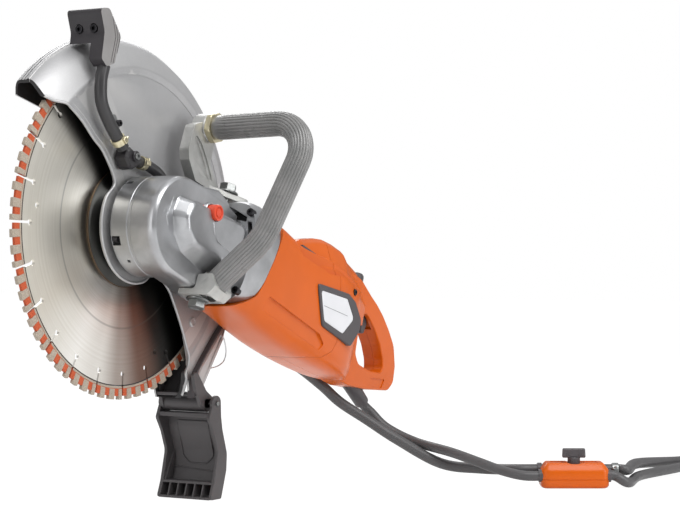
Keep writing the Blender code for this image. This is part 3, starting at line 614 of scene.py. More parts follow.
def blade_segments():
    """Castellated segments: proud grit teeth with painted pockets between them."""
    pitch = 360 / SLOTS
    gap = half_angle(SLOT_HALF, 168)
    teeth = ((2.0, 4.6), (7.1, 10.0), (12.3, pitch - 2 * gap))
    bands, grits, welds = [], [], []
    for k in range(SLOTS):
        start = FIRST_SLOT + k * pitch + gap
        end = start + pitch - 2 * gap
        bands.append(sector(start, end, SEGMENT_ROOT + 0.6, 171.4, 1.45, 8))
        welds.append(sector(start, end, SEGMENT_ROOT - 0.7, SEGMENT_ROOT + 0.2, 1.55, 8))
        for first, last in teeth:
            grits.append(sector(start + first, start + last, SEGMENT_ROOT + 3.2, BLADE_RADIUS, 2.1))
        grits.append(sector(start, end, SEGMENT_ROOT + 0.4, SEGMENT_ROOT + 2.8, 1.75, 8))
    piece(together(*bands), "segment_pockets", "blade", "pocket", "cutting_blade")
    teeth = soften(together(*grits), 0.35, 1)
    piece(teeth, "segment_teeth", "blade", "grit", "cutting_blade")
    piece(together(*welds), "segment_weld_line", "blade", "dark_steel", "cutting_blade")


def flanges():
    # The flange faces and the inner flange's rim carry painted shade over their yellow-zinc plating.
    inner = turned([(12.7, -1.7), (60.6, -1.7), (60.6, -3.0), (56, -4.6), (50, -9.4), (46, -12.6),
                    (30, -12.6), (30, -8), (12.7, -8)], "Y", ARBOR, True, 96)
    piece(inner, "inner_flange_body", "blade", "flange", "inner_flange")
    edge = turned([(60.4, -1.7), (61.3, -1.7), (61.5, -2.2), (61.1, -2.7), (60.4, -2.7)],
                  "Y", ARBOR, True, 96)
    piece(edge, "inner_flange_edge", "blade", "shaded_zinc_edge", "inner_flange")
    outer = turned([(12.7, 1.7), (51.6, 1.7), (52, 2.1), (52, 3.4), (50.5, 4.4), (41, 7.1), (24, 7.6),
                    (23, 7.0), (5.6, 7.0), (5.6, 4.5), (12.7, 4.5)], "Y", ARBOR, True, 96)
    piece(outer, "outer_flange_body", "blade", "flange", "outer_flange")
    washer = turned([(5.6, 7.1), (13.5, 7.1), (13.8, 7.5), (13.8, 8.4), (13.3, 8.8), (5.6, 8.8)],
                    "Y", ARBOR, True, 48)
    piece(washer, "blade_bolt_washer", "blade", "zinc", "blade_bolt")
    piece(hex_bolt(9.6, 8.9, 15.8, "Y", ARBOR), "blade_bolt_head", "blade", "zinc",
          "blade_bolt")
    stem = rod(4.9, -9, 9, "Y", ARBOR)
    piece(soften(stem, 0.5), "blade_bolt_stem", "blade", "zinc", "blade_bolt")


def hex_bolt(radius, low, high, axis, where, centre=(0, 0, 0)):
    """A hex head whose outer end is chamfered round, with a shallow forging dish."""
    flip = 1 if high > low else -1
    head = rod(radius, low, high, axis, where, steps=6, centre=centre)
    near = radius * 0.985
    cone = turned([(radius * 1.4, low - flip), (radius * 1.4, high - flip * 2.2),
                   (near * 0.86, high), (near * 0.86, high + flip * 2), (radius * 2, high + flip * 2),
                   (radius * 2, low - flip)], axis, where, True, 48, centre)
    combine(head, [cone])
    dish = turned([(radius * 0.5, high - flip * 0.5), (radius * 0.62, high + flip * 0.6)],
                  axis, where, False, 32, centre)
    cut(head, dish)
    return soften(head, 0.35, 2, 25)


# ---------------------------------------------------------------- guard

GUARD_SHEET = 2.5
GUARD_PROFILE = ((27.4, -15.8), (156, -15.8), (159.5, -17.0), (163, -16.8), (182, -6), (190, 4.5),
                 (192.6, 9), (193.4, 12.0))
GUARD_OPENING = ((-133, 124), (-124, 120), (-110, 117), (-89, 104), (-69, 86), (-52, 72))
TAIL_START = -38.0
TAIL_MOST = -75.0


def tail_reach(angle):
    """How far the guard's rim runs out past its circle, at its straight lower end."""
    if angle >= TAIL_START:
        return 0.0
    turn = math.radians(TAIL_START - max(angle, TAIL_MOST))
    return GUARD_RADIUS / math.cos(turn) - GUARD_RADIUS


def guard_skin(profile):
    """The guard's profile turned round the blade's axis, drawn out straight at the tail."""
    steps = 200
    rings = []
    for k in range(steps):
        angle = 360 * k / steps - 120
        ring = []
        for radius, y in profile:
            share = min(max((radius - 160) / 22, 0.0), 1.0)
            x, z = polar(radius + share * tail_reach(angle), angle)
            ring.append((x, y, z))
        rings.append(ring)
    return skin(rings, ARBOR, wrap=True)


def wall_depth(x, z):
    """The inboard wall's outer face at a place, from its profile."""
    radius = math.hypot(x, z)
    radius -= tail_reach(math.degrees(math.atan2(z, x))) * min(max((radius - 160) / 22, 0.0), 1.0)
    for (r0, y0), (r1, y1) in zip(GUARD_PROFILE, GUARD_PROFILE[1:]):
        if radius <= r1:
            return y0 + (y1 - y0) * max(0.0, radius - r0) / (r1 - r0)
    return GUARD_PROFILE[-1][1]


def opening_edge():
    """The line the guard's inboard wall is cut along, from its front end to its tail."""
    front = [(*point, 0) for point in GUARD_OPENING]
    hub = [(*point, 0) for point in arc((0, 0), 57, 128, 304, 8)]
    tail = [(55, -63, 0), (66, -79, 0), (79, -103, 0), (90, -129, 0), (91, -144, 0), (87, -152, 0),
            (92, -163, 0), (94, -179.5, 0)]
    return [(point.x, point.y) for point in smooth(front + hub + tail, 5)]


def guard_shells():
    rim, sheet = GUARD_RADIUS, GUARD_SHEET
    outer = list(GUARD_PROFILE)
    inner = [(rim - 0.6 - sheet, 12.0), (rim - 4.2, 9.4), (180, -3.2), (163, -14.2), (159, -14.4),
             (27.4, -13.4)]
    far, front, low = 320.0, -132.5, -179.5
    edge = opening_edge()
    opening = [(front, far), (front, edge[0][1]), *edge[1:], (94, low), (200, low), (200, -far),
               (-far, -far), (-far, far)]
    shell = guard_skin(outer + inner)
    cut(shell, slab(opening, -60, 60, ARBOR))
    pocket = [(-99, 125), (-47, 84), (10, 60), (140, -20), (152, 30),
              *arc((0, 0), 154.5, 14, 126, 40)]
    cut(shell, mound([(-30, pocket), (-15.45, inset(pocket, 0.4))], ARBOR))
    soften(shell, 0.6, 2, 50)
    # Painted shade: the faces inside the inboard wall take the near-black guard shade.
    paint_inside(shell, lambda x, y, z: y - wall_depth(x, z) > 1.5)
    piece(shell, "guard_inboard_wall", "guard", "guard", "guard_inboard_shell", 35,
          "guard_shade")

    bead = [Vector((x, wall_depth(x, z) - 0.3, z)) for x, z in edge]
    bead = [point for point in bead if point.z > low + 1]
    piece(tube(thicken(bead, 6), 1.5, ARBOR, 12), "guard_edge_bead", "guard", "guard",
          "guard_inboard_shell")
    crease = []
    for (x0, z0), (x1, z1) in zip(edge, edge[1:]):
        run = Vector((x1 - x0, z1 - z0)).normalized()
        x, z = x0 - run.y * 5.5, z0 + run.x * 5.5
        if low + 3 < z < 118 and math.hypot(x, z) > 62:
            crease.append(Vector((x, wall_depth(x, z) + 0.1, z)))
    front_run = [point for point in crease if point.z > 0]
    piece(tube(thicken(front_run, 6), 0.55, ARBOR, 8), "guard_edge_crease", "guard",
          "guard", "guard_inboard_shell")

    outer = [(rim - 0.9, 12.3), (rim - 0.2, 12.8), (rim, 13.6), (rim, 15.6), (rim - 0.6, 16.4),
             (rim - 0.6, 18.4), (rim - 1.3, 18.7), (rim - 1.3, 19.3), (rim - 0.6, 19.6),
             (rim - 0.6, 22.2), (rim - 1.3, 22.5), (rim - 1.3, 23.1), (rim - 0.6, 23.4),
             (rim - 0.6, 25.4), (rim - 1.2, 27.6), (rim - 3, 29.2), (rim - 5.5, 30), (108, 30),
             (104, 29)]
    inner = [(104, 27.6), (rim - 5.5, 27.6), (rim - 3.6, 26.6), (rim - 3.0, 25), (rim - 3.0, 12.3)]
    opening = [(front, far), (front, 126), (-84, 113), (-60, 80), (0, 30), (60, -60), (86, -150),
               (96, low), (200, low), (200, -far), (-far, -far), (-far, far)]
    shell = guard_skin(outer + inner)
    cut(shell, slab(rounded(opening, [0, 1, 20, 40, 40, 40, 10, 1, 0, 0, 0, 0]), -60, 60, ARBOR))
    soften(shell, 0.5, 2, 50)
    # Painted shade: the outboard wall's inside and the bottoms of its rim grooves take the near-black
    # guard shade.
    def is_dark(x, y, z):
        depth = rim + tail_reach(math.degrees(math.atan2(z, x))) - math.hypot(x, z)
        return (y < 27.9 and depth > 2.4) or (18.4 < y < 23.4 and depth > 0.95)

    paint_inside(shell, is_dark)
    piece(shell, "guard_outboard_wall", "guard", "guard", "guard_outboard_shell", 35,
          "guard_shade")


def paint_inside(obj, is_inside):
    """Faces that test as inside take the second material, which on the guard is its painted shade."""
    back = obj.matrix_world
    origin = ARBOR.translation
    for face in obj.data.polygons:
        middle = (back @ face.center - origin) / MM
        if is_inside(middle.x, middle.y, middle.z):
            face.material_index = 1


def tail_web():
    """The flat web between the guard's wall and the channel at its tail."""
    outline = rounded([(84, -112), (118, -88), (159, -92), (132, -121), (109, -144), (100.5, -158),
                       (100, -178), (94.5, -178), (92.5, -164), (91, -150), (90.5, -135)],
                      [2, 2, 2, 2, 2, 2, 1, 1, 2, 2, 2])
    piece(slab(outline, -15.95, -13.5, ARBOR), "guard_tail_web", "guard", "guard",
          "guard_inboard_shell")


def guard_details():
    """The raised tail channel with a dark strip of painted shadow along it, a rivet, a clip wire and the
    hose clip.
    """
    channel = rounded([(160, -96), (131, -123), (108, -146), (98, -159), (97, -178.5), (105.5, -178.5),
                       (150, -121)], [6, 10, 8, 4, 1, 2, 10])
    body = mound([(-14, channel), (-19.5, inset(channel, 0.3)), (-21.5, inset(channel, 2.2))], ARBOR)
    piece(soften(body, 0.6, 2), "guard_tail_channel", "guard", "guard",
          "guard_inboard_shell")
    line = smooth([(160, 0, -95), (148, 0, -105), (133, 0, -119), (111, 0, -141), (99, 0, -156),
                   (96, 0, -178)], 6)
    strip = [(p.x - 3.2, p.z - 1.0) for p in line] + [(p.x + 2.6, p.z + 0.6) for p in reversed(line)]
    # Painted shadow: a dark strip stands for the shadow line where the wall meets the raised channel.
    shadow_strip = mound([(-14, strip), (-20.5, strip), (-21.8, inset(strip, 0.8))], ARBOR)
    piece(shadow_strip, "guard_tail_shadow_strip", "guard", "dark", "guard_inboard_shell")
    plug = turned([(5.2, -15.0), (5.2, -16.6), (4.4, -17.4), (3.2, -17.4), (2.8, -16.9),
                   (0.01, -16.9)], "Y", ARBOR, centre=(99.6, 0, -99))
    piece(plug, "guard_rivet", "guard", "guard", "guard_inboard_shell")
    wire = [(143, -21.5, -114), (147, -24, -119), (150, -24.5, -133), (147, -23.5, -142),
            (137, -22.6, -147), (125, -20.8, -149)]
    piece(tube(smooth(wire, 6), 0.7, ARBOR, 8), "guard_clip_wire", "guard", "steel",
          "foot_spring")
    clip = soften(slab(rounded([(-42, 110), (-37, 112), (-29, 99), (-35, 96)], 2), -18.4, -15.5,
                       ARBOR), 0.4)
    piece(clip, "hose_clip", "guard", "zinc", "guard_hose")
    screw = socket_screw(3.4, (-22.6, -17.5), 1.6, (-24, -21), "Y", ARBOR, (-34, 0, 103), 0.6, 32)
    piece(screw, "hose_clip_screw", "guard", "dark_steel", "guard_hose")


def guard_grip():
    side = rounded([(-81, 212.5), (-66, 213.5), (-47.5, 187), (-58, 160), (-71, 156), (-79, 163),
                    (-74, 190)], [5, 6, 9, 5, 4, 5, 14])
    grip = slab(side, -33.5, 8.5, ARBOR)
    seat = turned([(90, -17.6), (GUARD_RADIUS + 0.6, -17.6), (GUARD_RADIUS + 0.6, 25), (90, 25)],
                  "Y", ARBOR, True, 160)
    cut(grip, seat)
    soften(grip, 2.6, 3, 40)
    screws = [rod(4.9, -95, -73.5, "X", ARBOR, centre=(0, y, 193.5)) for y in (-3.0, -21.0)]
    cut(grip, *screws)
    tools = []
    for k in range(5):
        shift = k * 3.4
        tools.append(slab([(-62 + shift, 208), (-61.3 + shift, 208), (-56 + shift, 186),
                           (-64 + shift, 160), (-64.7 + shift, 160), (-56.7 + shift, 186)],
                          -34.5, -32.9, ARBOR))
    cut(grip, *tools)
    # Painted light: faces turned towards -y take the lighter copy of the grip rubber.
    for face in grip.data.polygons:
        if face.normal.y < -0.5:
            face.material_index = 1
    piece(grip, "swing_grip", "guard", "grip", "guard_grip", 40, "grip_lit_side")
    for name, y in (("grip_screw_left", -3.0), ("grip_screw_right", -21.0)):
        head = socket_screw(4.2, (-76.6, -70), 2.1, (-80, -74), "X", ARBOR, (0, y, 193.5))
        piece(head, name + "_head", "guard", "dark_steel", name)


def band_clamp(path, index, name, body, paint, node, radius):
    """A band round a hose, with a worm housing and its slotted screw."""
    middle = Vector(path[index])
    ahead = (Vector(path[index + 1]) - Vector(path[index - 1])).normalized()
    turn = ahead.to_track_quat("Z", "X").to_matrix().to_4x4()
    where = ARBOR @ Matrix.Translation(middle * MM) @ turn
    half = 3.5
    band = turned([(radius, -half), (radius + 1.1, -half), (radius + 1.3, -half + 0.3),
                   (radius + 1.3, half - 0.3), (radius + 1.1, half), (radius, half)], "Z", where,
                  True, 40)
    worm = soften(box_between((-2.6, radius + 0.4, -half + 0.2), (2.6, radius + 3.4, half - 0.2),
                              where), 0.7, 3)
    screw = rod(1.6, 2.2, 4.6, "X", where, steps=20, centre=(0, radius + 2.0, 0))
    cut(screw, box_between((4.1, radius, -0.35), (5, radius + 4, 0.35), where))
    piece(together(band, worm, screw), name, body, paint, node)


def guard_hose():
    path = smooth([(-67, -27, 157), (-71.5, -27, 142), (-71, -27, 122), (-60, -27, 104),
                   (-46, -27, 88), (-36, -27, 78)], 8)
    piece(tube(path, 6.3, ARBOR, 28), "grip_hose", "guard", "rubber", "guard_hose")
    band_clamp(path, -7, "hose_clamp_upper_band", "guard", "yellow", "hose_clamp_upper", 6.4)
    feed = smooth([(-14, -26, 66), (2, -26.5, 63), (18, -26, 58), (30, -25, 52), (38, -24.6, 44)], 6)
    piece(tube(feed, 5.6, ARBOR, 24), "feed_hose", "guard", "rubber", "guard_hose")
    band_clamp(feed, 4, "hose_clamp_lower_band", "guard", "yellow", "hose_connector", 5.7)
    body = rounded([(-35, 77), (-38, 68), (-32, 58), (-25, 56.5), (-14, 61), (-12.5, 67.5), (-21, 75),
                    (-29, 80)], 3.5)
    block = mound([(-18, body), (-30, inset(body, 0.5)), (-32.5, inset(body, 2.6))], ARBOR)
    boss = turned([(5.4, -31), (5.4, -34.4), (4.6, -35.2), (0.01, -35.2)], "Y", ARBOR,
                  centre=(-23, 0, 70))
    piece(soften(join(block, boss), 0.5), "hose_elbow", "guard", "black", "hose_connector")
    screw = socket_screw(3.6, (-36.6, -34.9), 1.7, (-38, -35.6), "Y", ARBOR, (-23, 0, 70), 0.5)
    piece(screw, "hose_elbow_screw", "guard", "zinc", "hose_connector")


# ---------------------------------------------------------------- splash foot

FOOT_NARROWING = 0.88


def foot_parts():
    """The foot's own moulding: two cheeks, a dished back, a lip and a row of cells."""
    rest = -101.5
    cheek = rounded([*arc((0, 0), 8.5, 200, 20, 10), (8.6, -14), (11, -28), (19.6, -54), (18.4, -72),
                     (8.5, rest), (-12, rest), (-5, -84), (3, -52), (-5, -31), (-14, -16),
                     (-10, -7)], [0] * 11 + [4, 10, 16, 12, 3, 3, 10, 14, 10, 5, 3])
    cheek = [p for k, p in enumerate(cheek) if k == 0 or
             (Vector(p) - Vector(cheek[k - 1])).length > 0.05]
    parts = []
    for low, high in ((-40, -35.6), (35.6, 40)):
        parts.append(soften(slab(cheek, low, high, FOOT), 0.9, 3))
    back = smooth([(5.0, 0, -12.5), (6.6, 0, -28), (13, 0, -45), (16, 0, -56), (14.6, 0, -72),
                   (9, 0, -86), (4.5, 0, -98)], 6)
    outer = [(p.x + 3, p.z) for p in back]
    inner = [(p.x, p.z) for p in reversed(back)]
    parts.append(slab(outer + inner, -36.5, 36.5, FOOT))
    lip = [(-11.5, -14.5), (8.8, -14.5), (8.8, -10), (-11.5, -10)]
    shelf = [(-5.4, -86), (12, -86), (12, -83.4), (-5.4, -83.4)]
    sole = [(-11.8, rest), (8.5, rest), (8.8, rest + 2.6), (-11, rest + 2.6)]
    for bar, radius, bevel in ((lip, 0.8, 0.5), (shelf, 0.6, 0.4), (sole, 0.6, 0.4)):
        parts.append(soften(slab(rounded(bar, radius), -36.5, 36.5, FOOT), bevel))
    for k in range(1, 6):
        y = -36.5 + 73 * k / 6
        rib = [(-10.8, rest + 1), (8, rest + 1), (10.5, -85), (-5.2, -85)]
        parts.append(slab(rib, y - 0.8, y + 0.8, FOOT))
    gusset = [(-3, -84), (9, -84), (15, -62), (14, -52)]
    parts.extend(slab(gusset, low, low + 3, FOOT) for low in (-36.5, 33.5))
    moulding = together(*parts)
    moulding.data.transform(Matrix.Diagonal((1, FOOT_NARROWING, 1, 1)))
    piece(moulding, "foot_moulding", "foot", "foot", "splash_foot", 35)

    panel = rounded([(-20, -20), (20, -20), (20, -58), (11, -66), (-11, -66), (-20, -58)],
                    [3, 3, 9, 8, 8, 9])
    curve = ((-18, 4.6), (-28, 6.2), (-45, 12.6), (-56, 15.6), (-68, 15.0))

    def depth(z):
        for (z0, x0), (z1, x1) in zip(curve, curve[1:]):
            if z >= z1:
                return x0 + (x1 - x0) * (z0 - z) / (z0 - z1)
        return curve[-1][1]

    frame_line = [Vector((depth(z) - 0.1, y, z)) for y, z in panel + panel[:1]]
    piece(tube(frame_line, 0.8, FOOT, 8), "foot_panel_line", "foot", "foot", "splash_foot")
    seam = [Vector((depth(-72) - 1.0, -30, -74)), Vector((depth(-70) - 1.0, 30, -70))]
    piece(tube(seam, 0.6, FOOT, 8), "foot_floor_line", "foot", "foot", "splash_foot")


def foot_bracket():
    """The saddle that hangs the foot's pin under the guard."""
    arm = rounded([(88, -152), (97, -152), (113, -172), (124, -179), (125.5, -190), (111, -192.5),
                   (103, -188), (93, -170)], [3, 3, 8, 5, 6, 6, 4, 6])
    near = slab(arm, -25, -20.8, ARBOR)
    far = slab(rounded([(98, -166), (108, -166), (126, -178), (126, -191), (108, -191)], 4), 27, 31.5,
               ARBOR)
    bar = slab(rounded([(108.5, -191), (108.5, -180), (125, -180), (125, -191)], 3), -25, 31.5, ARBOR)
    web = slab(rounded([(96, -177), (110, -177), (110, -173.5), (96, -173.5)], 1), -24, 30, ARBOR)
    parts = [soften(part, 0.8, 2) for part in (near, far, bar, web)]
    piece(together(*parts), "foot_saddle", "guard", "foot", "foot_bracket", 35)
    barrel = turned([(2.7, -24), (8.4, -24), (9.2, -23.2), (9.2, 30.7), (8.4, 31.5), (2.7, 31.5)],
                    "Y", FOOT, True, 48)
    piece(barrel, "foot_hinge_barrel", "guard", "foot", "foot_bracket", 35)
    pin = turned([(0.01, -37), (2.2, -37), (2.5, -36.6), (2.5, 36.6), (2.2, 37), (0.01, 37)],
                 "Y", FOOT, steps=24)
    piece(pin, "foot_hinge_pin", "guard", "zinc", "hinge_pin")


# ---------------------------------------------------------------- gear case

DRUM = 51.0


def drum():
    shell = turned([(15, -10), (27, -10), (27, -21.4), (30, -22), (DRUM - 0.8, -22),
                    (DRUM, -22.8), (DRUM, -42), (DRUM - 0.5, -42.4), (DRUM - 0.5, -43),
                    (DRUM, -43.4), (DRUM, -46), (46.5, -46), (46.5, -28), (23.8, -28),
                    (23.8, -12.5), (15, -12.5)], "Y", MACHINE, True, 128)
    windows = []
    for angle, low, high, width in ((216.5, -33.0, -23.2, 9.5), (140, -31.5, -24, 4.5),
                                    (243, -37, -33.6, 3.2), (60, -32, -24, 7)):
        x, z = polar(DRUM, angle)
        where = MACHINE @ Matrix.Translation(Vector((x, 0, z)) * MM) @ Matrix.Rotation(
            math.radians(-angle), 4, "Y")
        windows.append(box_between((-3.4, low, -width / 2), (4, high, width / 2), where))
    cut(shell, *windows)
    soften(shell, 0.4, 2, 50)
    # Painted shade: the walls of the drum's windows take the near-black shade colour.
    for face in shell.data.polygons:
        x, y, z = face.center / MM
        if 46.9 < math.hypot(x, z) < DRUM - 2.4 and -43 < y < -23:
            face.material_index = 1
    piece(shell, "drum_ring", "machine", "cast", "gear_housing", 35, "deep_shade")
    latch = soften(box_between((-3, -29.5, -2), (0.6, -24.5, 2),
                               MACHINE @ Matrix.Translation(Vector((*polar(DRUM - 2, 216.5), 0)).xzy
                                                            * MM)), 0.5)
    piece(latch, "drum_latch", "machine", "black", "gear_housing")
    # Painted shade: a near-black ring inside the drum, seen through its windows.
    shade_liner = turned([(45.6, -44), (46.3, -44), (46.3, -29.5), (45.6, -29.5)], "Y", MACHINE, True, 96)
    piece(shade_liner, "drum_shadow_liner", "machine", "deep_shade", "gear_housing")


def gear_cover():
    rear = 88.0
    outline = [(rear, 50), (72, 51.5), (47, 58.5), (20, DRUM + 1), *arc((0, 0), DRUM, 91, 269, 60),
               (20, -DRUM - 1), (rear, -49)]
    cover = mound([(-46.3, outline), (-66, outline), (-71.6, inset(outline, 0.5)),
                   (-74.6, inset(outline, 1.7)), (-76, inset(outline, 3.6))], MACHINE)
    side = slab([(rear, 50), (72, 51.5), (40, 50), (40, -46), (rear, -49)], -50, -33, MACHINE)
    join(cover, side)
    cut(cover, rod(45.8, -62, -30, "Y", MACHINE, 64))
    base = rounded([(86.5, 37), (60, 36), (12, 30), (-20, 27), (-24, 6), (-15, -13), (2, -26),
                    (52, -34), (86.5, -31)], [9, 20, 16, 10, 14, 10, 14, 20, 12], 6)
    top = rounded([(82, 28), (60, 27), (14, 22.5), (-10, 20), (-16, 4), (-11, -7), (2, -15),
                   (50, -15), (80, -10)], [8, 20, 12, 8, 9, 8, 12, 16, 12], 6)

    def between(share):
        return [tuple(Vector(a) * (1 - share) + Vector(b) * share) for a, b in zip(base, top)]

    boss = mound([(-72, base), (-76.3, base), (-78.2, between(0.14)), (-88.5, between(0.58)),
                  (-91.4, between(0.8)), (-92.8, inset(top, 1.2))], MACHINE)
    join(cover, boss)
    vent = rounded([(66, 52), (72, 51.5), (100, 47), (100, 41), (84, 43.5), (68, 47)], 1.2)
    cut(cover, slab(vent, -90, -68, MACHINE))
    cut(cover, rod(9.2, -110, -80, "Y", MACHINE, 40, centre=(25, 0, 24)))
    groove = thicken([(24, -93.2, 13.5), (30, -93.2, 3), (37, -93.2, -3), (50, -93.2, -4.2),
                      (88, -93.2, -4.5)], 4)
    cut(cover, tube(groove, 0.9, MACHINE, 8))
    crease = thicken([(-27, -76.4, 22), (-29, -76.4, 12), (-32, -76.4, -1), (-27, -76.4, -9)], 4)
    cut(cover, tube(crease, 0.6, MACHINE, 8))
    soften(cover, 0.8, 3, 32)
    piece(cover, "gear_case_cover", "machine", "cast", "gear_cover", 35)
    collar = turned([(9.2, -83), (10.8, -83), (10.8, -86.4), (10.2, -87), (9.2, -87)], "Y",
                    MACHINE, True, 48, centre=(25, 0, 24))
    piece(collar, "lock_button_collar", "machine", "cast", "gear_cover")


def lock_button():
    """The spindle lock: a stepped button with a moulded ring on its face."""
    button = turned([(3, -61.5), (3, -78.4), (8.4, -78.4), (8.4, -94.9), (7.9, -96.2), (6.1, -96.4),
                     (5.6, -95.3), (4.6, -95.3), (4.1, -96.4), (0.01, -96.4)], "Y", MACHINE,
                    steps=48, centre=(25, 0, 24))
    piece(button, "lock_button_cap", "spindle_lock", "button", "spindle_lock_button")


def superellipse(along, half_width, top, bottom, power=3.4, count=72):
    middle, half_height = (top + bottom) / 2, (top - bottom) / 2
    points = []
    for k in range(count):
        angle = 2 * math.pi * (k + 0.5) / count
        c, s = math.cos(angle), math.sin(angle)
        y = MOTOR_Y + half_width * math.copysign(abs(c) ** (2 / power), c)
        z = middle + half_height * math.copysign(abs(s) ** (2 / power), s)
        points.append((along, y, z))
    return points


CAST_SEAM = ((147, 62), (142, 47.6), (131, 10), (122, -16), (114.5, -33), (104, -42), (92, -50),
             (82, -57.5))


def casting():
    """The vented casting between the gear cover and the motor housing."""
    stations = [(88.4, 34, 60, -49), (96, 34.8, 64, -50), (108, 35.2, 65.5, -51),
                (122, 35.3, 63, -52), (150, 35.3, 57.4, -58)]
    flange = skin([superellipse(*each) for each in stations], MACHINE)
    slanted = slab([(152, 90), *((s, n) for s, n in ((149, 90), *CAST_SEAM)), (82, -90), (200, -90),
                    (200, 90)], -140, 0, MACHINE)
    cut(flange, slanted, rod(30.8, 60, 160, "X", MACHINE, 48, centre=(0, MOTOR_Y, 0)))
    slot = rounded([(-87.5, 39.5), (-93, 38), (-96.5, 27), (-96.5, 15), (-92.5, 15), (-91, 27)], 1.6)
    gap = rounded([(-60, 56), (-68, 53), (-86, 44), (-86, 38.5), (-66, 43), (-60, 46)], 1.6)
    cut(flange, slab(slot, 80, 104, MACHINE, "X"), slab(gap, 80, 104, MACHINE, "X"))
    soften(flange, 0.6, 2, 40)
    piece(flange, "motor_casting", "machine", "cast", "motor_flange", 35)
    # Painted shade: a near-black shell behind the casting's vents.
    shade_liner = skin([superellipse(s, 30.6, 58, -46, 3.0) for s in (94, 123)], MACHINE)
    cut(shade_liner, rod(29, 60, 160, "X", MACHINE, 48, centre=(0, MOTOR_Y, 0)))
    piece(shade_liner, "vent_shadow_liner", "machine", "deep_shade", "motor_flange")
    for name, y, n in (("casting_screw_upper", -90.5, 48.5), ("casting_screw_lower", -91, -37)):
        head = socket_screw(4.2, (84.6, 92), 2.1, (80, 86.6), "X", MACHINE, (0, y, n), 0.7, 32)
        piece(head, name, "machine", "dark_steel", "motor_flange")
    # Painted shade: a near-black block between the gear cover and the handle bracket's flange.
    filler = slab([(50, -37), (50, -40), (66, -41), (88, -50.5), (88, -37)], 44, 66.4, MACHINE, "Z")
    piece(soften(filler, 0.6), "bracket_shadow_block", "machine", "deep_shade", "motor_flange")
    head = socket_screw(4.9, (61.0, 64.6), 2.2, (63, 66), "Z", MACHINE, (118, -76, 0), 0.7)
    piece(head, "cover_screw_head", "machine", "dark_steel", "cover_screw")


# ---------------------------------------------------------------- front handle

HANDLE_S = 52.0
HANDLE_CORNERS = ((HANDLE_S, -38, 129.5), (HANDLE_S, -172, 133), (HANDLE_S, -136, 6),
                     (HANDLE_S, -86, -46.3))
UPPER_BOLT = (97, -48, 0)
LOWER_BOLT = (55, -70, 0)


def handle_path(start, end):
    path = fillet_path(HANDLE_CORNERS, [34, 60], 16)
    path[0] = path[0] + (path[1] - path[0]).normalized() * start
    path[-1] = path[-1] + (path[-2] - path[-1]).normalized() * end
    return thicken(path, 4)


def sleeve_radius(share, turn):
    """Ribs along the sleeve, with a plain band and a bead at each end."""
    end = min(share, 1 - share)
    if end < 0.012:
        return 12.0
    if end < 0.03:
        return 12.9
    return 12.2 + 0.8 * abs(math.cos(12 * turn)) ** 0.5


